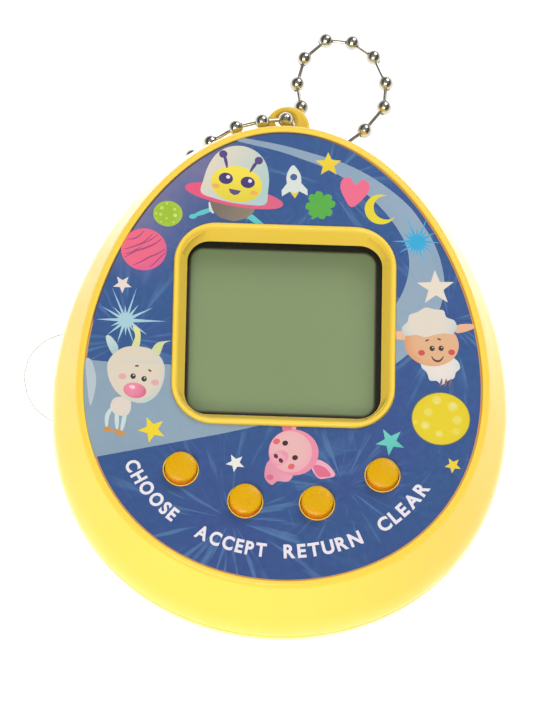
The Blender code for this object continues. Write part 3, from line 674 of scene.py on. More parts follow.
def seam_edge(offset, z, direction):
    """Rounded edge at the seam, from its flat towards the outside; direction is up or down."""
    points = []
    for step in range(4):
        angle = 0.5 * math.pi * step / 3
        inset = SEAM_ROUNDING * (1.0 - math.sin(angle))
        lift = SEAM_ROUNDING * (1.0 - math.cos(angle))
        points.append((offset - inset, z + direction * lift))
    return points


def front_profile():
    """Offsets and heights round the wall of the front half, from its inner roof to the recess."""
    bottom = PARTING_Z + SEAM_GAP
    widest = side_point(math.asin((bottom - WIDEST_Z) / SIDE_RADIUS))[0]
    inner_side = side_point(0.0, WALL)[0]
    tongue_side = inner_side + TONGUE + SEAM_GAP
    profile = [(leaning_offset(FACE_INNER_Z, WALL) - 0.5, FACE_INNER_Z)]
    for z in (14.2, 12.3):
        profile.append((leaning_offset(z, WALL), z))
    profile += [
        (inner_side, TONGUE_TOP_Z + 0.3),
        (tongue_side, TONGUE_TOP_Z + 0.1),
        (tongue_side, bottom),
    ]
    profile += seam_edge(widest, bottom, 1.0)
    start = (bottom + SEAM_ROUNDING - WIDEST_Z) / SIDE_RADIUS
    for step in range(1, 10):
        profile.append(side_point(start + (SIDE_LEAN - start) * step / 9))
    for z in (13.4, 14.6, 15.6):
        profile.append((leaning_offset(z), z))
    centre_z = RIM_TOP_Z - RIM_ROUNDING
    centre_offset = leaning_offset(centre_z) - RIM_ROUNDING / math.cos(SIDE_LEAN)
    profile += arc((centre_offset, centre_z), RIM_ROUNDING, math.degrees(SIDE_LEAN), 90.0, 7)
    inner = (RIM_INNER_OFFSET + RIM_INNER_ROUNDING, RIM_TOP_Z - RIM_INNER_ROUNDING)
    profile += arc(inner, RIM_INNER_ROUNDING, 90.0, 180.0, 5)
    profile.append((RIM_INNER_OFFSET, FLOOR_Z))
    return profile


def bezel_ring():
    """The dished frame round the window, with a rounded outer edge and a crisp inner one."""
    crest = [(0.0, -0.24), (0.04, -0.12), (0.12, -0.04), (0.24, 0.0)]
    crest += [(0.36, -0.02), (0.5, -0.12), (0.66, -0.32)]
    section = [(0.0, BEZEL_FOOT_Z)] + stepped(0.0, BEZEL_TOP_Z, crest)
    section += stepped(BEZEL_SLOPE, WINDOW_EDGE_Z, [(-0.11, 0.16), (-0.04, 0.05), (0.0, 0.0)])
    section.append((BEZEL_SLOPE, BEZEL_FOOT_Z))
    rings = []
    for inset, z in section:
        share = inset / BEZEL_SLOPE
        size = [outer + (inner - outer) * share for outer, inner in zip(BEZEL_SIZE, WINDOW_SIZE)]
        radius = BEZEL_RADIUS + (WINDOW_RADIUS - BEZEL_RADIUS) * share
        rings.append((rounded_outline((0.0, 0.0), size, radius), z))
    return loft("bezel_tool", rings, ring_shaped=True)


def make_front_casing(finishes):
    """Front half: leaning sides, soft rim, recess for the label, bezel, button holes and posts."""
    rings = [(egg_outline(offset), z) for offset, z in front_profile()]
    casing = loft("front_casing", rings, finishes["shell"])
    opening = rounded_outline((0.0, 0.0), ROOF_OPENING, 3.8)
    carve(casing, group("opening_tool", [[(opening, 14.0), (opening, 18.0)]]))
    carve(casing, bezel_ring(), "UNION")
    top = LABEL_TOP_Z + COLLAR_HEIGHT
    collar = [(COLLAR_RADIUS, 15.5)] + stepped(COLLAR_RADIUS, top, [(0.0, -0.05), (-0.05, 0.0)])
    collar.append((0.5 * COLLAR_RADIUS, top))
    hole = [(HOLE_RADIUS, 14.0)] + stepped(HOLE_RADIUS, top, [(0.0, -0.05), (0.06, 0.01)])
    buttons = BUTTON_PLACES.values()
    carve(casing, group("collar_tool", [turned_rings(place, collar) for place in buttons]), "UNION")
    carve(casing, group("button_tool", [turned_rings(place, hole) for place in buttons]))
    posts = columns(CASE_SCREWS.values(), POST_RADIUS, PARTING_Z + 0.15, ROOF_JOIN_Z, 32)
    posts += columns(BOARD_SCREWS.values(), BOARD_POST_RADIUS, BOARD_POST_FOOT_Z, ROOF_JOIN_Z, 32)
    carve(casing, group("post_tool", posts), "UNION")
    bores = columns(CASE_SCREWS.values(), BORE_RADIUS, 8.0, BORE_TOP_Z, 24)
    bores += columns(BOARD_SCREWS.values(), BORE_RADIUS, 10.0, BORE_TOP_Z, 24)
    carve(casing, group("bore_tool", bores))
    weigh_normals(casing)
    install(casing, "root", "shell", "front_shell")


def rear_profile():
    """Offsets and heights round the wall of the rear half, from its inner floor to its back."""
    top = PARTING_Z - SEAM_GAP
    widest = side_point(math.asin((top - WIDEST_Z) / SIDE_RADIUS))[0]
    inner_side = side_point(0.0, WALL)[0]
    tongue_side = inner_side + TONGUE
    profile = [(BACK_INNER_OFFSET, BACK_WALL)]
    for degrees in (-60.0, -50.0, -40.0, -30.0, -20.0):
        profile.append(side_point(math.radians(degrees), WALL))
    profile += [
        (inner_side, top - 0.3),
        (inner_side, TONGUE_TOP_Z),
        (tongue_side - 0.05, TONGUE_TOP_Z),
        (tongue_side, TONGUE_TOP_Z - 0.08),
        (tongue_side, top),
    ]
    profile += seam_edge(widest, top, -1.0)
    start = math.asin((top - SEAM_ROUNDING - WIDEST_Z) / SIDE_RADIUS)
    for step in range(1, 17):
        profile.append(side_point(start + (math.radians(-60.0) - start) * step / 16))
    edge, edge_z = profile[-1]
    corner = edge - edge_z / math.tan(math.radians(30.0))
    for step in range(1, 9):
        share = step / 8.0
        rest = 1.0 - share
        offset = rest ** 2 * edge + 2.0 * share * rest * corner + share ** 2 * BACK_FLAT_OFFSET
        profile.append((offset, rest ** 2 * edge_z))
    return profile


def lug_outline(inset):
    """Round-ended lug, moved in by inset at its free edges."""
    radius = LUG_RADIUS - inset
    points = [(LUG_CENTRE[0] + radius + LUG_FLARE, LUG_ROOT_Y)]
    points += arc(LUG_CENTRE, radius, 0.0, 180.0, 32)
    points.append((LUG_CENTRE[0] - radius - LUG_FLARE, LUG_ROOT_Y))
    return points


def lug_rings():
    low, high = LUG_Z
    steps = [(0.34, 0.0), (0.14, 0.07), (0.04, 0.2), (0.0, 0.36)]
    rings = [(lug_outline(inset), low + lift) for inset, lift in steps]
    rings += [(lug_outline(inset), high - lift) for inset, lift in reversed(steps)]
    return rings


def lug_hole():
    """The chain's hole, widened softly at both faces of the lug."""
    low, high = LUG_Z
    steps = [(0.45, -0.1), (0.21, 0.06), (0.05, 0.2), (0.0, 0.4)]
    profile = stepped(LUG_HOLE_RADIUS, low, steps)
    profile += stepped(LUG_HOLE_RADIUS, high, [(flare, -lift) for flare, lift in reversed(steps)])
    return turned_rings(HOLE_BALL[:2], profile)


def stadium(size, extra=0.0):
    """Outline with nearly half-round ends round the middle of the battery bay."""
    grown = (size[0] + 2.0 * extra, size[1] + 2.0 * extra)
    return rounded_outline((0.0, middle("battery_left")[1]), grown, 0.5 * grown[1] - 0.1, 18)


def make_rear_casing(finishes):
    """Rear half: round back, lug, battery bay, sounder grille, screw wells and the tab's slot."""
    rings = [(egg_outline(offset), z) for offset, z in rear_profile()]
    casing = loft("rear_casing", rings, finishes["shell"])
    carve(casing, group("lug_tool", [lug_rings()]), "UNION")
    bay_wall = stadium(BAY_SIZE, BAY_WALL)
    carve(casing, group("bay_wall_tool", [[(bay_wall, 1.0), (bay_wall, BAY_TOP_Z)]]), "UNION")
    carve(casing, group("boss_tool", rear_bosses()), "UNION")
    inside = [
        (stadium(BAY_SIZE, 0.9), -1.0),
        (stadium(BAY_SIZE, 0.14), -0.02),
        (stadium(BAY_SIZE), 0.12),
        (stadium(BAY_SIZE), 9.0),
    ]
    carve(casing, group("bay_tool", [inside]))
    steps = [(0.4, -0.4), (0.12, -0.02), (0.0, 0.1), (0.0, 2.3)]
    ear_seat = stepped(EAR_SEAT_RADIUS, 0.0, steps)
    seats = [lug_hole(), turned_rings(EAR_PLACE, ear_seat)]
    seats += columns([SOUNDER_PLACE], SOUNDER_SEAT_RADIUS, BACK_WALL, 4.0, 64)
    carve(casing, group("seat_tool", seats))
    carve(casing, group("hole_tool", rear_holes()))
    low, high = box("pull_tab")
    left, right = low.x - 4.0, high.x + SLOT_ROOM
    near, far = low.y - SLOT_ROOM, high.y + SLOT_ROOM
    slot = [(left, near), (right, near), (right, far), (left, far)]
    carve(casing, group("slot_tool", [[(slot, low.z - 0.2), (slot, high.z + 0.2)]]))
    weigh_normals(casing)
    install(casing, "root", "shell", "rear_shell")


def rear_bosses():
    """Bosses for the door's screw, the sounder and the case screws."""
    bosses = columns([EAR_PLACE], EAR_SEAT_RADIUS + 0.4, 1.0, 6.2, 48)
    bosses += columns([SOUNDER_PLACE], SOUNDER_SEAT_RADIUS + 0.5, 1.0, 3.2, 64)
    profile = [(2.15, 1.45), (2.15, 4.0), (POST_RADIUS, 4.2), (POST_RADIUS, PARTING_Z - 0.15)]
    bosses += [turned_rings(place, profile, 32) for place in CASE_SCREWS.values()]
    return bosses


def rear_holes():
    """Screw wells and bores, the hole under the door's ear, and seven sound holes."""
    holes = columns([EAR_PLACE], BORE_RADIUS, 1.9, 5.6, 24)
    well = [(WELL_RADIUS, -1.0), (WELL_RADIUS, WELL_TOP_Z)]
    well += [(BORE_RADIUS, WELL_TOP_Z + 0.001), (BORE_RADIUS, 9.5)]
    holes += [turned_rings(place, well, 40) for place in CASE_SCREWS.values()]
    steps = [(0.25, -0.2), (0.1, -0.01), (0.0, 0.12), (0.0, 1.8)]
    sound_hole = stepped(SOUND_HOLE_RADIUS, 0.0, steps)
    for place in [SOUNDER_PLACE] + circle_outline(SOUNDER_PLACE, SOUND_HOLE_RING, 6):
        holes.append(turned_rings(place, sound_hole, 24))
    return holes


# ---------------------------------------------------------------- artwork of the printed face

def flat(red, green, blue):
    """A fill of one ink."""
    colour = srgb(red, green, blue)
    return lambda x, y: colour


def fade(first, second, start, end):
    """A fill that changes from one ink to another between two points."""
    inks = (srgb(*first), srgb(*second))
    run = Vector(end) - Vector(start)

    def fill(x, y):
        return blend(*inks, (Vector((x, y)) - Vector(start)).dot(run) / run.length_squared)
    return fill


def ball(inner, outer, centre, radius, reach=0.55):
    """A fill with one ink in the middle that changes to another at the edge."""
    inks = (srgb(*inner), srgb(*outer))

    def fill(x, y):
        share = math.hypot(x - centre[0], y - centre[1]) / radius
        return blend(*inks, clamp((share - reach) / (1.0 - reach)) ** 2)
    return fill


def oval(centre, radius_x, radius_y, tilt=0.0, sides=40):
    """An ellipse turned by tilt degrees."""
    points = [(radius_x * x, radius_y * y) for x, y in circle_outline((0.0, 0.0), 1.0, sides)]
    return placed(points, centre, tilt)


def star(centre, outer, inner, tilt=0.0):
    """A five-pointed star; tilt 0 points up."""
    radii = [outer, inner] * 5
    return [polar(centre, radius, 90.0 + tilt + 36.0 * step) for step, radius in enumerate(radii)]


def sparkle(centre, core, spikes):
    """A burst of thin spikes: spikes is a list of (direction in degrees, length)."""
    points = []
    following = spikes[1:] + [(spikes[0][0] + 360.0, 0.0)]
    for (direction, length), (onward, _) in zip(spikes, following):
        points.append(polar(centre, length, direction))
        points.append(polar(centre, core, 0.5 * (direction + onward)))
    return points


def curve(points, steps=6, closed=True):
    """A smooth line through points."""
    count = len(points)
    result = []
    for number in range(count if closed else count - 1):
        around = range(number - 1, number + 3)
        if closed:
            near = [points[index % count] for index in around]
        else:
            near = [points[min(max(index, 0), count - 1)] for index in around]
        for step in range(steps):
            t = step / steps
            weights = (
                0.5 * (-t + 2 * t * t - t ** 3),
                0.5 * (2 - 5 * t * t + 3 * t ** 3),
                0.5 * (t + 4 * t * t - 3 * t ** 3),
                0.5 * (t ** 3 - t * t),
            )
            result.append(tuple(
                sum(weight * point[axis] for weight, point in zip(weights, near)) for axis in (0, 1)
            ))
    if not closed:
        result.append(points[-1])
    return result


def stroke(points, width):
    """A line of some width through points, tapered a little at its ends."""
    line = curve(points, 5, False)
    left, right = [], []
    for number, point in enumerate(line):
        before = Vector(line[max(number - 1, 0)])
        after = Vector(line[min(number + 1, len(line) - 1)])
        along = (after - before).normalized()
        share = number / (len(line) - 1)
        half = 0.5 * width * (0.35 + 0.65 * math.sin(math.pi * min(max(share, 0.06), 0.94)))
        left.append((point[0] - along.y * half, point[1] + along.x * half))
        right.append((point[0] + along.y * half, point[1] - along.x * half))
    return left + right[::-1]


def crescent(radius, opening, shift):
    """A moon open to the right: opening is the angle from its middle to a tip in degrees."""
    tip = polar((0.0, 0.0), radius, opening)
    inner_radius = math.hypot(tip[0] - shift, tip[1])
    inner_opening = math.degrees(math.atan2(tip[1], tip[0] - shift))
    outside = arc((0.0, 0.0), radius, opening, 360.0 - opening, 24)
    inside = arc((shift, 0.0), inner_radius, 360.0 - inner_opening, inner_opening, 18)
    return outside + inside[1:-1]


def placed(points, centre, turn=0.0, scale=1.0):
    """Points moved from a drawing's own frame to a centre, turned and scaled."""
    angle = math.radians(turn)
    result = []
    for x, y in points:
        result.append((
            centre[0] + scale * (x * math.cos(angle) - y * math.sin(angle)),
            centre[1] + scale * (x * math.sin(angle) + y * math.cos(angle)),
        ))
    return result


NIGHT = fade((54, 90, 152), (54, 80, 144), (0.0, 4.0), (4.0, -27.0))
# painted glare: a greyish reflection of a light, laid into the label's colour at its upper left edge
PAINTED_GLARE = srgb(136, 130, 168)
PALE_BLUE = fade((148, 170, 190), (142, 164, 180), (12.0, 16.0), (-18.0, -10.0))
TEAL = fade((110, 206, 188), (84, 188, 178), (10.0, -11.0), (11.5, -13.2))
EDGE_VIOLET = srgb(82, 62, 84)
# painted glow: warm brown at the label's edge, where the yellow rim's light glows through
EDGE_GLOW_BROWN = srgb(212, 148, 76)
SAUCER_TILT = -9.4
PIG_TILT = 32.0


def edge_print_and_glow(x, y):
    """Dark violet along the upper left edge; elsewhere a painted warm brown glow, where the rim glows
    through.
    """
    turn = math.degrees(math.atan2(y, x))
    return blend(EDGE_VIOLET, EDGE_GLOW_BROWN, (abs(turn - 135.0) - 50.0) / 25.0)


def background(x, y):
    """Night blue, with a painted greyish glare, a reflection of a light, along the upper left edge."""
    reach = math.hypot(x / (0.5 * EGG_WIDTH), (y - EGG_CENTRE_Y) / (0.5 * EGG_HEIGHT))
    turn = math.degrees(math.atan2(y, x))
    near_edge = clamp((reach - 0.66) / 0.3)
    sector = clamp((34.0 - abs(turn - 132.0)) / 20.0)
    return blend(NIGHT(x, y), PAINTED_GLARE, 0.8 * near_edge * sector)


class Artwork:
    """A flat picture of filled outlines in millimetres; later outlines cover earlier ones."""

    def __init__(self, edge, fill):
        self.outlines = [edge]
        self.fills = [fill]
        self.foils = [0.0]

    def paint(self, outline, fill, foil=0.0):
        """Fill an outline, taken anticlockwise."""
        following = outline[1:] + outline[:1]
        area = sum(a[0] * b[1] - b[0] * a[1] for a, b in zip(outline, following))
        self.outlines.append(outline if area > 0.0 else outline[::-1])
        self.fills.append(fill)
        self.foils.append(foil)

    def shape(self, fill, points, steps=6):
        """A smooth closed shape through points."""
        self.paint(curve(points, steps), fill)

    def line(self, fill, points, width):
        self.paint(stroke(points, width), fill)

    def spot(self, fill, centre, radius_x, radius_y, tilt=0.0, sides=18):
        self.paint(oval(centre, radius_x, radius_y, tilt, sides), fill)

    def eyes(self, places, radius_x, radius_y, dark, light, shift):
        """Dark eyes, each with a spot of light a little above and beside its middle."""
        for x, y in places:
            self.spot(dark, (x, y), radius_x, radius_y)
            self.spot(light, (x + shift, y + 0.1), 0.08, 0.08, sides=10)

    def cut(self, outline):
        """An opening in the label."""
        self.paint(outline, None)

    def to_mesh(self, name, grid=0.8):
        """Triangles of the whole picture, each with its inks and painted light at its corners."""
        points, faces = [], []
        for outline in self.outlines:
            start = len(points)
            points.extend(Vector(point) for point in outline)
            faces.append(list(range(start, start + len(outline))))
        low = [min(point[axis] for point in self.outlines[0]) for axis in (0, 1)]
        high = [max(point[axis] for point in self.outlines[0]) for axis in (0, 1)]
        for row in range(int((high[1] - low[1]) / grid)):
            for column in range(int((high[0] - low[0]) / grid)):
                shift = 0.5 * grid * (row % 2)
                points.append(Vector((low[0] + column * grid + shift, low[1] + row * grid)))
        found, _, triangles, _, _, owners = delaunay_2d_cdt(points, [], faces, 1, 1e-4, True)
        kept = []
        for triangle, owner in zip(triangles, owners):
            if 0 in owner and self.fills[max(owner)] is not None:
                kept.append((triangle, max(owner)))
        return self.coloured_mesh(name, found, kept)

    def coloured_mesh(self, name, found, kept):
        mesh = bpy.data.meshes.new(name)
        corners = [Vector((point.x, point.y, LABEL_TOP_Z)) * MM for point in found]
        mesh.from_pydata(corners, [], [triangle for triangle, _ in kept])
        ink_and_painted_light = mesh.color_attributes.new("ink_and_painted_light", "FLOAT_COLOR", "CORNER")
        foil = mesh.attributes.new("foil", "FLOAT", "FACE")
        loop = 0
        for number, (triangle, top) in enumerate(kept):
            foil.data[number].value = self.foils[top]
            for corner in triangle:
                colour = self.fills[top](found[corner].x, found[corner].y)
                ink_and_painted_light.data[loop].color = (*colour, 1.0)
                loop += 1
        return mesh


def paint_bands(art):
    """The pale swoosh over the top and right, and the pale field at the lower left."""
    outer = [
        (-5.2, 20.2), (-0.8, 19.5), (2.7, 18.6), (5.7, 17.7), (8.5, 16.3), (10.8, 14.65), (12.6, 12.95),
        (14.0, 10.9), (14.8, 9.5), (15.5, 7.7), (15.95, 5.5), (15.9, 3.8), (15.5, 2.2),
        (14.6, 0.2), (13.5, -1.5), (12.3, -2.8), (11.0, -3.9),
    ]
    inner = [
        (10.0, 1.2), (11.1, 2.6), (11.9, 4.2), (12.38, 6.15), (12.36, 7.9), (11.94, 9.35), (11.0, 11.05),
        (9.7, 12.75), (8.05, 14.4), (5.75, 16.05), (3.4, 17.3), (1.3, 18.05), (-0.8, 18.75), (-5.0, 19.7),
    ]
    art.paint(curve(outer, 4, False) + curve(inner, 4, False), PALE_BLUE, 0.25)
    field = [
        (-22.0, -4.15), (-17.4, -4.5), (-10.0, -4.6), (-9.0, -9.0), (0.0, -10.1), (-1.1, -10.45),
        (-3.5, -11.1), (-6.2, -11.8), (-12.3, -13.2), (-18.4, -14.6), (-22.0, -15.4),
    ]
    art.paint(field, PALE_BLUE, 0.2)
    gleam = curve([(-19.7, -4.4), (-19.1, -4.5), (-18.6, -6.6), (-19.1, -9.2), (-19.5, -7.0)])
    art.paint(gleam, flat(184, 196, 202), 0.1)


def paint_planets(art):
    """Three striped or dotted planets."""
    pink = ball((238, 100, 130), (226, 92, 140), (-14.9, 8.4), 3.0)
    art.spot(pink, (-14.2, 7.66), 2.28, 2.26, sides=40)
    stripes = [
        ([(-16.2, 7.6), (-15.2, 7.95), (-14.3, 8.4), (-13.35, 9.35)], 0.16),
        ([(-16.1, 6.75), (-15.0, 7.45), (-14.1, 7.8), (-13.2, 8.25), (-12.45, 8.85)], 0.2),
        ([(-15.2, 5.95), (-14.4, 6.35), (-13.7, 6.8), (-12.9, 7.2), (-12.05, 7.75)], 0.2),
        ([(-13.6, 5.75), (-13.0, 6.3), (-12.5, 6.9), (-12.02, 7.4)], 0.14),
        ([(-15.9, 8.7), (-15.2, 8.8), (-14.6, 9.2), (-14.2, 9.7)], 0.14),
        ([(-14.7, 8.1), (-13.9, 8.5), (-13.3, 8.9), (-12.8, 9.3)], 0.13),
        ([(-16.25, 7.1), (-15.6, 7.25), (-15.0, 7.6), (-14.4, 8.0)], 0.12),
    ]
    for points, width in stripes:
        art.line(flat(168, 72, 124), points, width)
    centre = (-11.88, 11.6)
    art.spot(ball((158, 192, 40), (176, 206, 60), centre, 1.5, 0.75), centre, 1.46, 1.38, sides=40)
    dots = [
        (-12.5, 12.2, 0.2), (-11.2, 12.1, 0.17), (-12.6, 11.5, 0.16), (-11.15, 11.45, 0.2),
        (-12.0, 11.1, 0.13), (-12.0, 12.7, 0.13), (-13.05, 11.6, 0.13), (-11.3, 10.7, 0.12),
        (-12.55, 10.7, 0.1),
    ]
    for x, y, size in dots:
        dot = ball((232, 238, 170), (196, 216, 100), (x, y), size, 0.4)
        art.spot(dot, (x, y), size, size, sides=14)
    centre = (15.74, -9.46)
    art.spot(flat(120, 116, 62), centre, 2.94, 2.82, sides=40)
    art.spot(ball((230, 206, 22), (222, 198, 28), centre, 2.9, 0.7), centre, 2.86, 2.74, sides=40)
    craters = [
        (15.3, -7.5, 0.42), (16.9, -8.15, 0.46), (14.5, -8.8, 0.4), (17.35, -9.55, 0.44),
        (14.2, -10.2, 0.4), (17.25, -10.75, 0.33), (15.6, -11.05, 0.33), (13.2, -9.9, 0.2),
    ]
    for x, y, size in craters:
        crater = ball((240, 226, 150), (232, 214, 80), (x, y), size, 0.5)
        art.spot(crater, (x, y), 1.1 * size, 1.1 * size, sides=16)


def paint_stars(art):
    """Small stars and two sparkles."""
    stars = [
        ((-16.25, 3.85), 0.98, 0.42, 36.0, flat(232, 216, 208)),
        ((4.17, 17.5), 1.35, 0.6, 2.0, fade((238, 214, 50), (240, 200, 36), (4.0, 18.6), (4.3, 16.4))),
        ((15.1, 4.5), 1.95, 0.78, 3.0, flat(232, 218, 200)),
        ((-12.93, -11.55), 1.42, 0.6, 24.0, flat(240, 212, 30)),
        ((-4.6, -14.8), 0.98, 0.42, 28.0, flat(232, 232, 220)),
        ((10.75, -12.05), 1.5, 0.6, 30.0, TEAL),
        ((16.98, -14.35), 0.85, 0.38, 30.0, flat(238, 206, 44)),
    ]
    for centre, outer, inner, tilt, fill in stars:
        art.paint(star(centre, outer, inner, tilt), fill)
    left = [
        (0, 4.1), (28, 3.1), (54, 2.1), (74, 3.7), (94, 1.6), (113, 3.9), (133, 2.0), (150, 2.8), (180, 3.0),
        (205, 1.7), (222, 2.5), (252, 2.6), (270, 1.7), (289, 2.7), (306, 1.6), (325, 2.7),
    ]
    fill = ball((166, 204, 214), (150, 192, 226), (-15.82, 0.0), 3.6, 0.25)
    art.paint(sparkle((-15.82, 0.0), 0.72, left), fill)
    right = [
        (0, 2.3), (32, 2.1), (52, 1.6), (70, 2.9), (90, 1.6), (112, 3.5), (132, 1.7), (148, 2.0), (180, 2.5),
        (196, 1.6), (214, 2.2), (240, 1.7), (254, 1.9), (270, 1.6), (286, 2.9), (308, 1.6), (324, 2.4),
        (342, 1.7),
    ]
    fill = ball((44, 168, 214), (96, 186, 222), (13.2, 9.38), 2.8, 0.25)
    art.paint(sparkle((13.2, 9.38), 0.75, right), fill)


def on_saucer(points):
    """Points of the dome's drawing, moved to the saucer and tilted with it."""
    return placed(points, (-5.32, 13.72), SAUCER_TILT)


def paint_saucer(art):
    """A little flying saucer with a glass dome."""
    legs = flat(88, 196, 196)
    art.line(legs, [(-7.2, 12.35), (-8.3, 11.9), (-9.35, 11.45)], 0.5)
    art.spot(legs, (-9.35, 11.4), 0.42, 0.26, 10.0, 16)
    leg = [(-3.9, 11.9), (-3.3, 11.75), (-2.1, 10.7), (-3.0, 10.75), (-3.9, 11.35), (-4.0, 10.75)]
    art.paint(leg, legs)
    belly = [
        (-7.75, 13.2), (-7.5, 12.1), (-6.6, 11.3), (-5.2, 11.0), (-4.0, 11.35), (-3.3, 12.0),
        (-3.0, 12.8),
    ]
    art.paint(belly, fade((118, 108, 96), (142, 126, 108), (-7.0, 12.5), (-3.5, 11.5)))
    art.line(flat(216, 214, 222), [(-7.75, 13.0), (-7.6, 12.2), (-7.3, 11.8)], 0.3)
    brim = fade((232, 82, 122), (222, 96, 128), (-9.0, 14.0), (-1.0, 13.0))
    art.spot(brim, (-5.28, 13.77), 5.02, 1.12, SAUCER_TILT, 56)
    dome = [
        (-3.28, -0.25), (-3.3, 1.2), (-3.12, 2.7), (-2.55, 4.15), (-1.5, 5.15), (0.0, 5.55), (1.5, 5.15),
        (2.55, 4.15), (3.12, 2.7), (3.3, 1.2), (3.28, -0.25), (1.7, -0.62), (0.0, -0.72), (-1.7, -0.62),
    ]
    glass = fade((226, 214, 192), (176, 204, 202), (-7.2, 18.2), (-2.6, 14.6))
    art.paint(on_saucer(curve(dome, 4)), glass)
    paint_alien(art)


def paint_alien(art):
    """A plain round alien with two antennae, under the saucer's dome."""
    skin = fade((246, 224, 70), (226, 206, 56), (-5.0, 16.5), (-5.0, 13.2))
    art.paint(on_saucer(oval((0.05, 1.35), 2.62, 1.95)), skin)
    for x in (-1.2, 1.15):
        antenna = on_saucer([(x, 2.9), (1.25 * x, 3.7), (1.5 * x, 4.25)])
        art.line(flat(84, 66, 128), antenna, 0.34)
        art.paint(on_saucer(oval((1.55 * x, 4.3), 0.42, 0.42, sides=20)), flat(84, 66, 128))
    for x in (-1.12, 1.12):
        art.paint(on_saucer(oval((x, 1.75), 0.72, 0.62, sides=28)), flat(66, 46, 110))
        art.paint(on_saucer(oval((x + 0.2, 1.95), 0.2, 0.2, sides=14)), flat(232, 224, 240))
        art.paint(on_saucer(oval((1.75 * x, 0.75), 0.42, 0.25, sides=18)), flat(238, 176, 92))
    mouth = [(-0.62, 0.72), (0.62, 0.72), (0.42, 0.3), (0.0, 0.12), (-0.42, 0.3)]
    art.paint(on_saucer(mouth), flat(92, 70, 120))


def paint_icons(art):
    """A white rocket, a green clover, a pink heart and a yellow moon in a row."""
    white = flat(216, 224, 216)
    centre = (0.72, 15.55)
    for side in (-1.0, 1.0):
        fin = [(side * 0.55, 0.0), (side * 1.3, -0.95), (side * 1.3, -1.6), (side * 0.4, -1.05)]
        art.paint(placed(fin, centre, 4.0), white)
    flame = [(-0.42, -1.2), (0.42, -1.2), (0.0, -1.85)]
    art.paint(placed(flame, centre, 4.0), flat(240, 206, 60))
    body = [(0.0, 1.75), (0.62, 0.9), (0.74, 0.0), (0.5, -1.1), (-0.5, -1.1), (-0.74, 0.0), (-0.62, 0.9)]
    art.paint(placed(curve(body), centre, 4.0), white)
    art.paint(placed(oval((0.0, 0.45), 0.36, 0.36, sides=20), centre, 4.0), flat(66, 96, 150))
    green = flat(84, 172, 62)
    art.line(green, [(3.35, 12.9), (3.15, 12.1), (2.55, 11.55)], 0.42)
    half_leaf = [(0.62, 0.55), (0.78, 1.15), (0.36, 1.5)]
    leaf = [(0.0, 0.0)] + half_leaf + [(0.0, 1.28)] + [(-x, y) for x, y in reversed(half_leaf)]
    for turn in (0.0, 90.0, 180.0, 270.0):
        art.paint(placed(curve(leaf, 3), (3.42, 13.05), turn + 28.0), green)
    half_heart = [(0.55, 1.28), (1.15, 1.1), (1.3, 0.35), (0.85, -0.6)]
    heart = [(0.0, 0.72)] + half_heart + [(0.0, -1.5)] + [(-x, y) for x, y in reversed(half_heart)]
    art.paint(placed(curve(heart, 5), (6.78, 14.6), -8.0, 1.12), flat(238, 106, 138))
    art.paint(placed(crescent(1.62, 48.0, 0.6), (9.5, 12.8), 20.0), flat(232, 212, 36))


def paint_goat(art):
    """A small goat looking to the right."""
    horn = fade((226, 222, 140), (206, 214, 150), (-15.0, -1.0), (-14.0, -3.0))
    near_horn = [
        (-15.1, -0.6), (-14.45, -0.95), (-14.3, -1.9), (-14.5, -2.95), (-15.2, -2.95), (-14.85, -1.7),
    ]
    far_horn = [(-11.0, -2.05), (-11.9, -2.35), (-12.45, -3.7), (-13.2, -3.35), (-12.6, -2.3)]
    art.shape(horn, near_horn)
    art.shape(horn, far_horn)
    ear = [(-17.75, -1.8), (-17.25, -1.8), (-16.5, -2.9), (-16.8, -3.9), (-17.5, -2.9)]
    art.shape(fade((196, 214, 210), (160, 190, 196), (-17.5, -2.0), (-16.5, -3.8)), ear)
    legs = [
        [(-16.9, -9.3), (-17.4, -10.2), (-17.45, -11.5)],
        [(-16.5, -9.6), (-16.45, -10.6), (-16.4, -11.7)],
        [(-15.6, -9.5), (-15.75, -10.6), (-16.0, -11.9)],
    ]
    for points in legs:
        art.line(flat(200, 216, 212), points, 0.44)
    body = [(-16.7, -8.3), (-15.3, -8.3), (-15.1, -9.5), (-15.6, -10.2), (-16.65, -10.0), (-17.15, -9.3)]
    art.shape(ball((224, 210, 194), (204, 210, 204), (-16.1, -9.1), 1.3, 0.4), body)
    art.spot(flat(206, 142, 62), (-17.35, -11.65), 0.42, 0.27)
    art.spot(flat(206, 142, 62), (-16.2, -11.95), 0.68, 0.27, -22.0, 22)
    head = [
        (-14.7, -2.75), (-16.2, -3.05), (-17.4, -4.3), (-17.45, -5.9), (-16.7, -7.5), (-15.4, -8.5),
        (-13.8, -8.75), (-12.5, -7.8), (-11.85, -6.0), (-12.0, -4.3), (-13.1, -3.1),
    ]
    art.shape(ball((222, 208, 186), (172, 202, 206), (-14.9, -5.4), 3.7, 0.6), head)
    nose = ball((236, 138, 160), (206, 100, 136), (-15.0, -7.1), 1.4, 0.3)
    art.spot(nose, (-14.75, -7.45), 1.15, 0.82, -10.0, 40)
    art.spot(flat(246, 200, 208), (-15.0, -7.1), 0.3, 0.2, -10.0, 16)
    art.eyes([(-14.95, -5.95), (-13.85, -6.2)], 0.27, 0.3, flat(48, 44, 46), flat(210, 206, 210), 0.06)
    for cheek in ((-16.0, -6.0), (-12.75, -6.55)):
        art.spot(flat(226, 168, 168), cheek, 0.4, 0.32)
    art.spot(flat(82, 68, 62), (-14.6, -4.85), 0.2, 0.1, 6.0, 12)
    art.spot(flat(82, 68, 62), (-13.3, -5.3), 0.2, 0.1, -34.0, 12)


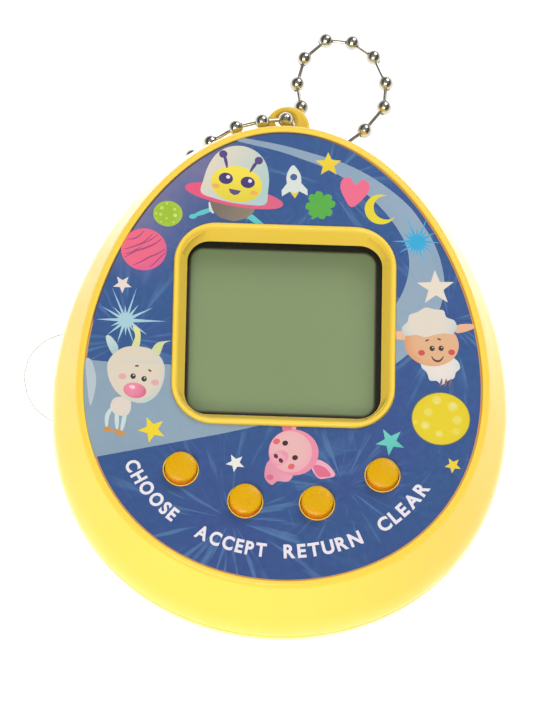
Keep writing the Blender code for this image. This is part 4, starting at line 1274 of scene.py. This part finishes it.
def paint_sheep(art):
    """A small sheep looking over the planet."""
    right_ear = [(17.2, 0.5), (18.2, 0.75), (19.3, 0.6), (18.4, 0.0), (17.2, -0.25)]
    left_ear = [(12.4, -0.4), (11.2, -0.3), (10.6, -0.8), (11.4, -1.15), (12.4, -1.1)]
    art.shape(flat(234, 176, 140), right_ear)
    art.shape(flat(234, 184, 146), left_ear)
    body = [
        (13.9, -3.2), (13.75, -4.0), (14.3, -4.6), (14.6, -5.4), (15.3, -5.45), (15.8, -5.85), (16.4, -5.4),
        (17.0, -5.1), (17.2, -4.5), (17.6, -4.0), (17.3, -3.2), (16.0, -2.6),
    ]
    art.shape(ball((232, 222, 212), (196, 212, 220), (15.6, -3.9), 2.1, 0.45), body)
    for x in (15.8, 16.25, 16.7):
        art.line(flat(140, 88, 84), [(x, -5.2), (x - 0.05, -5.6), (x - 0.15, -6.0)], 0.22)
    face = ball((226, 176, 134), (222, 152, 100), (15.3, -1.3), 3.2, 0.6)
    art.spot(face, (14.75, -1.55), 2.72, 2.35, -6.0, 48)
    wool = [
        (12.1, -0.7), (11.75, 0.1), (12.3, 0.75), (12.5, 1.5), (13.3, 1.85), (14.1, 2.35), (15.0, 2.2),
        (15.9, 2.1), (16.2, 1.4), (17.0, 1.05), (17.25, 0.3), (16.8, -0.4), (16.0, -0.35), (15.0, -0.55),
        (14.1, -0.8), (13.2, -0.6),
    ]
    art.shape(ball((226, 214, 198), (184, 204, 212), (14.4, 0.9), 3.0, 0.5), wool)
    art.eyes([(14.8, -2.0), (15.7, -1.95)], 0.27, 0.29, flat(62, 42, 34), flat(214, 190, 170), 0.07)
    for cheek in ((13.75, -2.5), (16.75, -2.35)):
        art.spot(flat(206, 80, 74), cheek, 0.34, 0.31)
    art.spot(flat(110, 70, 50), (14.3, -1.15), 0.22, 0.1, 22.0, 12)
    art.spot(flat(110, 70, 50), (15.5, -1.0), 0.22, 0.1, -22.0, 12)
    smile = [(14.75, -2.85), (15.0, -3.2), (15.35, -3.35), (15.7, -3.2), (15.95, -2.8)]
    art.line(flat(84, 54, 46), smile, 0.22)


def paint_pig(art):
    """A pink pig tumbling head over heels."""
    art.paint([(-0.25, -10.2), (1.45, -10.2), (1.3, -11.4), (0.1, -11.4)], flat(222, 118, 146))
    art.paint([(0.95, -10.2), (1.45, -10.2), (1.3, -11.4), (0.95, -11.4)], flat(238, 168, 182))
    body = [
        (-1.2, -14.4), (-1.7, -16.1), (-1.0, -17.0), (-0.4, -16.6), (0.6, -16.6), (1.1, -16.0),
        (1.0, -15.0),
    ]
    art.shape(fade((224, 138, 158), (234, 160, 178), (-1.6, -16.4), (1.0, -15.6)), body, 4)
    art.spot(flat(214, 104, 136), (-1.15, -16.2), 0.35, 0.3, sides=16)
    ear = [(2.9, -14.9), (3.55, -14.2), (4.6, -14.7), (5.3, -15.75), (4.5, -16.1), (3.6, -16.1)]
    ear_inside = [(3.1, -14.95), (3.6, -14.75), (4.4, -15.1), (4.9, -15.85), (4.2, -16.0), (3.6, -15.95)]
    art.shape(flat(238, 168, 184), ear)
    art.shape(flat(220, 108, 140), ear_inside)
    art.spot(flat(232, 140, 164), (1.15, -13.5), 2.48, 2.42, sides=48)
    face = ball((232, 180, 178), (236, 166, 178), (0.9, -13.2), 2.2, 0.6)
    art.spot(face, (0.85, -13.45), 2.12, 2.2, sides=44)
    snout = ball((238, 168, 180), (226, 138, 160), (-0.3, -14.15), 1.0, 0.4)
    art.spot(snout, (-0.3, -14.15), 0.98, 0.78, PIG_TILT, 32)
    for nostril in ((-0.6, -13.95), (-0.1, -14.4)):
        art.spot(flat(92, 36, 48), nostril, 0.2, 0.27, PIG_TILT, 16)
    for eye in ((0.3, -12.55), (1.3, -14.05)):
        art.spot(flat(62, 28, 34), eye, 0.3, 0.27, PIG_TILT)
    for cheek in ((-0.55, -12.4), (0.95, -15.0)):
        art.spot(flat(222, 102, 108), cheek, 0.36, 0.3, PIG_TILT)


def make_printed_face(finishes):
    """The label with its artwork, openings and legends."""
    art = Artwork(egg_outline(RIM_INNER_OFFSET - 0.02), edge_print_and_glow)
    art.paint(egg_outline(RIM_INNER_OFFSET - 0.17), background, 1.0)
    drawings = (
        paint_bands, paint_planets, paint_stars, paint_saucer, paint_icons, paint_goat, paint_sheep,
        paint_pig,
    )
    for draw in drawings:
        draw(art)
    size = [length + 0.06 for length in BEZEL_SIZE]
    art.cut(rounded_outline((0.0, 0.0), size, BEZEL_RADIUS))
    for place in BUTTON_PLACES.values():
        art.cut(circle_outline(place, LABEL_HOLE_RADIUS))
    mesh = art.to_mesh("printed_face")
    mesh.materials.append(finishes["label"])
    face = bpy.data.objects.new("printed_face", mesh)
    bpy.context.scene.collection.objects.link(face)
    thickness = face.modifiers.new("thickness", "SOLIDIFY")
    thickness.thickness = LABEL_THICKNESS * MM
    thickness.offset = -1.0
    install(face, "root", "label", "face_label")
    make_legends(finishes)


LEGENDS = {                         # middle of each word round the face, and its length
    "CHOOSE": (225.0, 7.4), "ACCEPT": (255.4, 7.2),
    "RETURN": (282.5, 7.9), "CLEAR": (310.9, 6.5),
}
LEGEND_HEIGHT = 1.38
LEGEND_INSET = -3.05
LETTER_SPACE = 0.22
STROKE_GAIN = 0.034
PRINT_FOOT = 0.002
PRINT_TOP = 0.012


def letter_mesh(letter):
    """The mesh of one bold capital, in the font's own size."""
    font = bpy.data.curves.new("letter", "FONT")
    font.body = letter
    font.offset = STROKE_GAIN
    font.extrude = 0.01
    font.resolution_u = 6
    holder = bpy.data.objects.new("letter", font)
    bpy.context.scene.collection.objects.link(holder)
    bpy.context.view_layer.update()
    graph = bpy.context.evaluated_depsgraph_get()
    mesh = bpy.data.meshes.new_from_object(holder.evaluated_get(graph))
    bpy.data.objects.remove(holder)
    return mesh


def make_legends(finishes):
    """The four words under the buttons, along the lower edge of the face."""
    builder = bmesh.new()
    height = max(vertex.co.y for vertex in letter_mesh("E").vertices)
    scale_y = LEGEND_HEIGHT / height
    for word, (centre_degrees, length) in LEGENDS.items():
        letters = [letter_mesh(letter) for letter in word]
        spans = []
        for mesh in letters:
            xs = [vertex.co.x for vertex in mesh.vertices]
            spans.append((min(xs), max(xs)))
        room = length - LETTER_SPACE * (len(word) - 1)
        scale_x = room / sum(high - low for low, high in spans)
        travelled = -0.5 * length
        for mesh, (low, high) in zip(letters, spans):
            width = (high - low) * scale_x
            place, outward = walk_egg(math.radians(centre_degrees), travelled + 0.5 * width)
            add_letter(builder, mesh, (scale_x, scale_y), 0.5 * (low + high), place, outward)
            travelled += width + LETTER_SPACE
    legends = add_piece("legend_print", builder, finishes["print"])
    install(legends, "root", "label")


def walk_egg(angle, distance):
    """The point some way along the legends' line from a starting angle."""
    steps = 40
    probe = 0.001
    for _ in range(steps):
        here = egg_point(angle, LEGEND_INSET)[0]
        ahead = egg_point(angle + probe, LEGEND_INSET)[0]
        angle += probe * distance / steps / (ahead - here).length
    return egg_point(angle, LEGEND_INSET)


def add_letter(builder, mesh, scale, letter_middle, place, outward):
    """Stand a letter on the line, with its foot outwards."""
    right = Vector((-outward.y, outward.x))
    start = len(builder.verts)
    builder.from_mesh(mesh)
    builder.verts.ensure_lookup_table()
    for vertex in builder.verts[start:]:
        x = (vertex.co.x - letter_middle) * scale[0]
        y = vertex.co.y * scale[1] - 0.5 * LEGEND_HEIGHT
        flat_place = place + right * x - outward * y
        lift = PRINT_TOP if vertex.co.z > 0.0 else PRINT_FOOT
        vertex.co = Vector((flat_place.x, flat_place.y, LABEL_TOP_Z + lift)) * MM


# ---------------------------------------------------------------- display

def make_display(finishes):
    """Clear pane, and the display's glass with its grey-green film."""
    low, high = box("window_lens")
    size = (high.x - low.x, high.y - low.y)
    full = rounded_outline((0.0, 0.0), size, 1.5)
    inner = rounded_outline((0.0, 0.0), [length - 2.0 * PANE_EDGE for length in size], 1.4)
    rings = [(inner, low.z), (full, low.z + PANE_EDGE), (full, high.z - PANE_EDGE), (inner, high.z)]
    pane = loft("window_pane", rings, finishes["pane"])
    install(pane, "root", "clear", "window_lens")
    low, high = box("lcd_glass")
    film_bottom = high.z - FILM_THICKNESS
    outline = rounded_outline((0.0, 0.0), (high.x - low.x, high.y - low.y), 0.3, 3)
    rings = [(outline, low.z), (outline, film_bottom - 0.02)]
    glass = loft("display_glass", rings, finishes["glass"])
    install(glass, "root", "display", "lcd_glass")
    make_display_film(finishes, film_bottom, high.z)


def make_display_film(finishes, bottom, top):
    """The film's visible field is grey-green; a painted shadow darkens it softly through brown to black
    towards the frame round it.
    """
    green = srgb(136, 155, 110)
    shadow_brown = srgb(62, 44, 18)
    black = srgb(5, 4, 3)
    # painted shadow at the edge of the opening: from black through brown into the film's green
    insets = [(-0.85, black), (-0.14, black), (0.0, black), (0.1, shadow_brown), (0.34, green)]
    builder = bmesh.new()
    rings = []
    for inset, _ in insets:
        size = [length - 2.0 * inset for length in DISPLAY_OPENING]
        rings.append((rounded_outline(DISPLAY_CENTRE, size, 1.5 - inset), top))
    outer = rings[0][0]
    add_rings(builder, [(outer, bottom)] + rings)
    film = add_piece("display_film", builder, finishes["display"])
    ink_and_painted_light = film.data.color_attributes.new("ink_and_painted_light", "FLOAT_COLOR", "POINT")
    count = len(outer)
    colours = [black] + [colour for _, colour in insets]
    for number in range(len(film.data.vertices)):
        ink_and_painted_light.data[number].color = (*colours[number // count], 1.0)
    install(film, "root", "display")


# ---------------------------------------------------------------- buttons

def make_buttons(finishes):
    """Four domed caps with a flange inside the casing."""
    for name, place in BUTTON_PLACES.items():
        low, high = box("button_" + name)
        profile = stepped(FLANGE_RADIUS, low.z, [(-0.1, 0.0), (0.0, 0.1), (0.0, 1.0), (-0.1, 1.1)])
        profile.append((BUTTON_RADIUS, low.z + 1.12))
        profile += stepped(BUTTON_RADIUS, high.z, BUTTON_CROWN)
        cap = turned("cap_" + name, place, profile, finishes["button"], 64)
        install(cap, name + "_button", "button", "button_" + name)


def make_domes(finishes):
    """A hollow-sided rubber dome under each cap, built at rest; the real dome flattens as its button is
    pressed.
    """
    for name, place in BUTTON_PLACES.items():
        low, high = box("dome_" + name)
        base = 0.5 * (high.x - low.x)
        profile = stepped(base, low.z, [(-0.06, 0.0), (0.0, 0.06), (0.0, 0.3), (-0.1, 0.4)])
        profile += [(0.72 * base, low.z + 1.2), (0.6 * base, high.z - 0.5)]
        profile += [(0.58 * base, high.z - 0.08), (0.53 * base, high.z)]
        dome = turned("rubber_" + name, place, profile, finishes["rubber"], 40)
        install(dome, "root", "rubber", "dome_" + name)
        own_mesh(dome)


# ---------------------------------------------------------------- power and fasteners

def make_cells(finishes):
    """Two button cells: a steel can, a dark seal and a cap towards the contacts."""
    for side in ("left", "right"):
        low, high = box("battery_" + side)
        place = middle("battery_" + side)
        radius = 0.5 * (high.x - low.x)
        profile = stepped(radius, low.z, [(-0.35, 0.0), (-0.12, 0.06), (0.0, 0.3)])
        profile += stepped(radius, high.z, [(0.0, -0.5), (-0.25, -0.2), (-0.55, -0.2)])
        can = turned("cell_can_" + side, place, profile, finishes["steel"], 72)
        carve(can, group("plus_tool", [plus_mark(place, low.z)]))
        weigh_normals(can)
        install(can, "root", "steel", "battery_" + side)
        steps = [(-1.1, -0.2), (-0.6, -0.2), (-0.62, -0.12), (-1.08, -0.12)]
        profile = stepped(radius, high.z, steps)
        seal = turned("cell_seal_" + side, place, profile, finishes["black"], 72)
        install(seal, "root", "black_plastic")
        profile = stepped(radius, high.z, [(-1.1, -0.12), (-1.12, -0.03), (-1.22, 0.0)])
        profile.append((0.3, high.z))
        cap = turned("cell_cap_" + side, place, profile, finishes["steel"], 72)
        install(cap, "root", "steel")


def plus_mark(place, z):
    """The plus sign stamped into a cell's can."""
    arm = [(-0.25, 0.25), (-0.25, 1.5), (0.25, 1.5)]
    cross = []
    for turn in (0.0, -90.0, -180.0, -270.0):
        cross += placed(arm, place, turn)
    return [(cross, z - 1.0), (cross, z + 0.08)]


def cross_recess(place, depth_z, reach):
    """Tapered cross of a screwdriver bit, as two blades."""
    sizes = [(-1.0, 1.25, 0.24), (0.0, 1.0, 0.19), (0.5, 0.35, 0.12)]
    blades = []
    for turn in (20.0, 110.0):
        rings = []
        for lift, share, width in sizes:
            length = share * reach
            corners = [(length, width), (-length, width), (-length, -width), (length, -width)]
            rings.append((placed(corners, place, turn), depth_z + lift))
        blades.append(rings)
    return blades


def make_screw(name, node, head_height, finishes, body):
    """A pan-head screw with a cross recess and a thread, in the place of its CAD node."""
    low, high = box(node)
    place = middle(node)
    head = 0.5 * (high.x - low.x)
    profile = [(0.45 * head, 0.0), (0.72 * head, 0.05), (0.92 * head, 0.18), (head, 0.34)]
    profile += [(head, head_height - 0.04), (head - 0.05, head_height), (SHAFT_RADIUS, head_height)]
    length = high.z - low.z
    height = head_height
    while height < length - 0.9:
        profile.append((SHAFT_RADIUS, height + 0.12))
        profile.append((THREAD_RADIUS, height + 0.25))
        profile.append((SHAFT_RADIUS, height + 0.38))
        height += THREAD_PITCH
    profile += [(0.4, length - 0.4), (0.08, length)]
    profile = [(radius, low.z + height) for radius, height in profile]
    screw = turned(name, place, profile, finishes["steel"], 40)
    for blade in cross_recess(place, low.z, 0.62 * head):
        carve(screw, group("bit_tool", [blade]))
    weigh_normals(screw)
    install(screw, body, "steel", node)


def make_fasteners(finishes):
    for name in CASE_SCREWS:
        make_screw("casing_screw_" + name, "case_screw_" + name, CASE_HEAD_HEIGHT, finishes, "root")
    for name in BOARD_SCREWS:
        make_screw("panel_screw_" + name, "board_screw_" + name, BOARD_HEAD_HEIGHT, finishes, "root")
    make_screw("lid_screw", "battery_door_screw", LID_HEAD_HEIGHT, finishes, "door")


def make_lid(finishes):
    """The battery lid: a plate flush with the back, an ear for its screw and three grip grooves."""
    steps = [(-0.22, 0.0), (-0.07, 0.05), (0.0, 0.2)]
    steps += [(0.0, LID_THICKNESS - 0.05), (-0.05, LID_THICKNESS)]
    rings = [(stadium(LID_SIZE, grown), z) for grown, z in steps]
    lid = loft("battery_lid", rings, finishes["shell"])
    steps = [(-0.15, 0.0), (-0.05, 0.05), (0.0, 0.2), (0.0, 2.0)]
    ear = stepped(EAR_RADIUS, 0.0, steps)
    carve(lid, group("ear_tool", [turned_rings(EAR_PLACE, ear)]), "UNION")
    well = [(WELL_RADIUS + 0.25, -0.3), (WELL_RADIUS, 0.12), (WELL_RADIUS, 1.1)]
    well += [(BORE_RADIUS, 1.101), (BORE_RADIUS, 3.0)]
    cuts = [turned_rings(EAR_PLACE, well)]
    for step in range(3):
        middle_place = (0.0, -4.6 - step)
        length = 6.8 - step
        outer = rounded_outline(middle_place, (length, 0.62), 0.3, 8)
        inner = rounded_outline(middle_place, (length - 0.4, 0.26), 0.12, 8)
        cuts.append([(outer, -0.02), (inner, 0.28)])
    carve(lid, group("lid_tool", cuts))
    weigh_normals(lid)
    install(lid, "door", "shell", "battery_door")


def make_tab(finishes):
    """Clear film tab with a round end, a little curled where it sticks out."""
    low, high = box("pull_tab")
    half = 0.5 * (high.y - low.y)
    centre_y = 0.5 * (high.y + low.y)
    thickness = high.z - low.z
    builder = bmesh.new()
    rows = []
    lengthways, across = 60, 16
    for column in range(lengthways + 1):
        x = high.x + (low.x - high.x) * column / lengthways
        into_end = max(0.0, low.x + half - x) / half
        width = half * math.sqrt(max(1.0 - into_end * into_end, 0.0004))
        curl = 0.25 * max(0.0, (-20.8 - x) / 5.0) ** 2
        row = []
        for step in range(across + 1):
            y = centre_y - width + 2.0 * width * step / across
            row.append(builder.verts.new(Vector((x, y, high.z + curl)) * MM))
        rows.append(row)
    for near, far in zip(rows, rows[1:]):
        for step in range(across):
            builder.faces.new((near[step], near[step + 1], far[step + 1], far[step]))
    outline = [row[0].co / MM for row in rows] + [row[-1].co / MM for row in reversed(rows)]
    tab = add_piece("film_tab", builder, finishes["film"])
    sheet = tab.modifiers.new("thickness", "SOLIDIFY")
    sheet.thickness = thickness * MM
    sheet.offset = 0.0
    install(tab, "tab", "film", "pull_tab")
    make_tab_edge(outline, 0.5 * thickness, finishes)


def make_tab_edge(outline, radius, finishes):
    """The cut edge of the film, with painted shade: darker than its faces, as a clear cut edge looks."""
    rows = []
    count = len(outline)
    for number, place in enumerate(outline):
        along = (outline[(number + 1) % count] - outline[number - 1]).normalized()
        outward = along.cross(Vector((0.0, 0.0, 1.0)))
        row = []
        for x, z in circle_outline((0.0, 0.0), radius, 6):
            row.append(place + outward * x + Vector((0.0, 0.0, z)))
        rows.append(row)
    builder = bmesh.new()
    bridge(builder, rows, True)
    edge = add_piece("film_tab_edge", builder, finishes["film_edge"])
    install(edge, "tab", "film")


# ---------------------------------------------------------------- chain

def add_turned(builder, start, along, profile, sides):
    """A turned shape about any line: profile is a list of (distance along, radius)."""
    turn = along.to_track_quat("Z", "Y")
    rows = []
    for distance, radius in profile:
        circle = circle_outline((0.0, 0.0), radius, sides)
        rows.append([start + turn @ Vector((x, y, distance)) for x, y in circle])
    bridge(builder, rows)


def add_ball(builder, centre, along):
    """A ball of the chain, with small dents where the wire enters."""
    profile = [(-0.5 * BALL_RADIUS, 0.24), (-0.9 * BALL_RADIUS, 0.27)]
    steps = 18
    for step in range(steps + 1):
        angle = math.radians(-70.0 + 140.0 * step / steps)
        profile.append((BALL_RADIUS * math.sin(angle), BALL_RADIUS * math.cos(angle)))
    profile += [(0.9 * BALL_RADIUS, 0.27), (0.5 * BALL_RADIUS, 0.24)]
    add_turned(builder, centre, along, profile, 28)


def add_link(builder, start, end):
    """The wire pin between two balls, waisted in its middle."""
    length = (end - start).length
    waist = 0.95 * LINK_RADIUS
    profile = [(0.0, LINK_RADIUS), (0.42 * length, waist), (0.58 * length, waist), (length, LINK_RADIUS)]
    add_turned(builder, start, (end - start).normalized(), profile, 14)


def resting(point):
    """A ball's centre, no lower than where the ball touches the table."""
    centre = Vector(point)
    centre.z = max(centre.z, BALL_RADIUS)
    return centre


def make_run(name, body, node, points, first_pivot, finishes):
    """One run of the chain: its balls, and the links from each ball to the one before it."""
    builder = bmesh.new()
    balls = [resting(point) for point in points]
    before = resting(first_pivot) if first_pivot else None
    for number, centre in enumerate(balls):
        onward = balls[min(number + 1, len(balls) - 1)]
        if before is None:
            add_ball(builder, centre, (onward - centre).normalized())
        else:
            add_ball(builder, centre, (onward - before).normalized())
            add_link(builder, before, centre)
        before = centre
    run = add_piece(name, builder, finishes["nickel"])
    install(run, body, "nickel", node)


def make_clasp(finishes):
    """Barrel clasp: a rolled tube with a slot along it and necked ends."""
    low, high = box("chain_clasp")
    centre = 0.5 * (low + high)
    half = 0.5 * (high.x - low.x)
    radius = 0.5 * (high.z - low.z)
    end = [(-1.0, 0.5), (-1.0, 0.66), (-0.93, 0.88), (-0.84, 0.99), (-0.74, 1.0)]
    shares = end + [(-along, around) for along, around in reversed(end)]
    profile = [(along * half, around * radius) for along, around in shares]
    builder = bmesh.new()
    add_turned(builder, centre, Vector((1.0, 0.0, 0.0)), profile, 40)
    clasp = add_piece("barrel_clasp", builder, finishes["nickel"])
    slot = rounded_outline((centre.x, centre.y), (1.5 * half, 0.5), 0.24, 8)
    carve(clasp, group("clasp_tool", [[(slot, centre.z + 0.2), (slot, high.z + 1.0)]]))
    weigh_normals(clasp)
    install(clasp, "chain_loop_run", "nickel", "chain_clasp")


def make_chain(finishes):
    left, right = LEFT_BALLS, RIGHT_BALLS
    left_joint, right_joint = left[LEFT_SPLIT - 1], right[RIGHT_SPLIT - 1]
    runs = [
        ("beads_left", "chain_left_run", "chain_left", left[:LEFT_SPLIT], HOLE_BALL),
        ("beads_left_tail", "chain_left_tail", "chain_left_end", left[LEFT_SPLIT:], left_joint),
        ("beads_right", "chain_right_run", "chain_right", [HOLE_BALL] + right[:RIGHT_SPLIT], None),
        ("beads_loop", "chain_loop_run", "chain_loop", right[RIGHT_SPLIT:], right_joint),
    ]
    for name, body, node, points, pivot in runs:
        make_run(name, body, node, points, pivot, finishes)
    make_clasp(finishes)


# ---------------------------------------------------------------- pieces kept from the CAD model

KEPT = {
    "lcd_reflector": "reflector", "lcd_frame": "black", "zebra_strip_upper": "rubber",
    "zebra_strip_lower": "rubber", "circuit_board": "board", "chip_blob": "resin",
    "board_capacitor": "ceramic", "board_resistor": "resin",
    "contact_positive": "brass", "contact_negative": "brass", "contact_bridge": "brass",
    "buzzer_plate": "brass", "buzzer_ceramic": "ceramic", "buzzer_wire_red": "red",
    "buzzer_wire_black": "black",
}


def finish_kept_nodes(finishes):
    """Better materials and softened edges for the inner pieces that keep their CAD shape."""
    for node, finish in KEPT.items():
        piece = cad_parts[node]
        piece.data.materials.clear()
        piece.data.materials.append(finishes[finish])
        edges = piece.modifiers.new("soft_edges", "BEVEL")
        edges.width = 0.04 * MM
        edges.segments = 2
        edges.limit_method = "ANGLE"
        edges.angle_limit = math.radians(40.0)


# ---------------------------------------------------------------- stage, light and camera

def make_camera():
    """A long lens that looks at the aim along the tilted and turned line."""
    tilt, turn, roll = CAMERA_TILT, CAMERA_TURN, CAMERA_ROLL
    back = Vector((math.sin(turn), -math.sin(tilt) * math.cos(turn), math.cos(tilt) * math.cos(turn)))
    back.normalize()
    right = Vector((0.0, math.cos(tilt), math.sin(tilt))).cross(back).normalized()
    up = back.cross(right)
    rolled_right = right * math.cos(roll) + up * math.sin(roll)
    rolled_up = up * math.cos(roll) - right * math.sin(roll)
    camera = bpy.data.objects.new("camera", bpy.data.cameras.new("camera"))
    camera.data.lens = CAMERA_LENS
    camera.data.sensor_width = 36.0
    camera.data.clip_start = 0.05
    turned_axes = Matrix((rolled_right, rolled_up, back)).transposed()
    camera.matrix_world = Matrix.Translation(CAMERA_AIM + back * CAMERA_DISTANCE) @ turned_axes.to_4x4()
    bpy.context.scene.collection.objects.link(camera)
    bpy.context.scene.camera = camera


def make_area_light(name, place, aim, size, power):
    light = bpy.data.lights.new(name, "AREA")
    light.shape = "RECTANGLE"
    light.size, light.size_y = size
    light.energy = power
    lamp = bpy.data.objects.new(name, light)
    lamp.location = place
    lamp.rotation_euler = (Vector(aim) - Vector(place)).to_track_quat("-Z", "Y").to_euler()
    bpy.context.scene.collection.objects.link(lamp)


def make_world():
    """A light room: bright near the horizon, darker above it, soft light overhead."""
    world = bpy.data.worlds.new("studio")
    world.use_nodes = True
    tree = world.node_tree
    background = tree.nodes["Background"]
    coordinates = tree.nodes.new("ShaderNodeTexCoord")
    parts = tree.nodes.new("ShaderNodeSeparateXYZ")
    ramp = tree.nodes.new("ShaderNodeValToRGB")
    tree.links.new(coordinates.outputs["Generated"], parts.inputs[0])
    tree.links.new(parts.outputs[2], ramp.inputs[0])
    tree.links.new(ramp.outputs[0], background.inputs[0])
    stops = [(0.0, 0.8), (0.28, 0.85), (0.42, 0.16), (0.72, 0.16), (0.86, 0.6), (1.0, 0.6)]
    ramp.color_ramp.elements[0].position = stops[0][0]
    ramp.color_ramp.elements[1].position = stops[-1][0]
    for position, _ in stops[1:-1]:
        ramp.color_ramp.elements.new(position)
    for element, (_, level) in zip(ramp.color_ramp.elements, stops):
        element.color = (level, level, level, 1.0)
    background.inputs[1].default_value = 0.6
    bpy.context.scene.world = world


def make_stage():
    """A pale floor, lit a little from within like a light table."""
    builder = bmesh.new()
    bmesh.ops.create_grid(builder, x_segments=1, y_segments=1, size=3.0)
    floor = add_piece("floor", builder, None)
    floor.location.z = -0.02 * MM
    finish = Finish("pale_floor", (0.9, 0.9, 0.9), 0.7)
    finish.paint(finish.mix(finish.noise(0.02, 2.0), (0.89, 0.89, 0.885), (0.91, 0.91, 0.905)))
    finish.set("Emission Color", (1.0, 1.0, 1.0, 1.0))
    finish.set("Emission Strength", 0.72)
    floor.data.materials.append(finish.material)


def make_lights():
    target = (0.0, 0.0, 0.01)
    make_area_light("key", (-0.14, -0.34, 0.56), target, (0.35, 0.35), 3.25)
    make_area_light("fill", (0.24, 0.42, 0.4), target, (0.3, 0.3), 1.6)


def main():
    bpy.context.scene.view_settings.view_transform = "Standard"
    make_camera()
    make_world()
    make_stage()
    make_lights()
    finishes = make_finishes()
    make_front_casing(finishes)
    make_rear_casing(finishes)
    make_printed_face(finishes)
    make_display(finishes)
    make_buttons(finishes)
    make_domes(finishes)
    make_cells(finishes)
    make_fasteners(finishes)
    make_lid(finishes)
    make_tab(finishes)
    make_chain(finishes)
    finish_kept_nodes(finishes)


main()
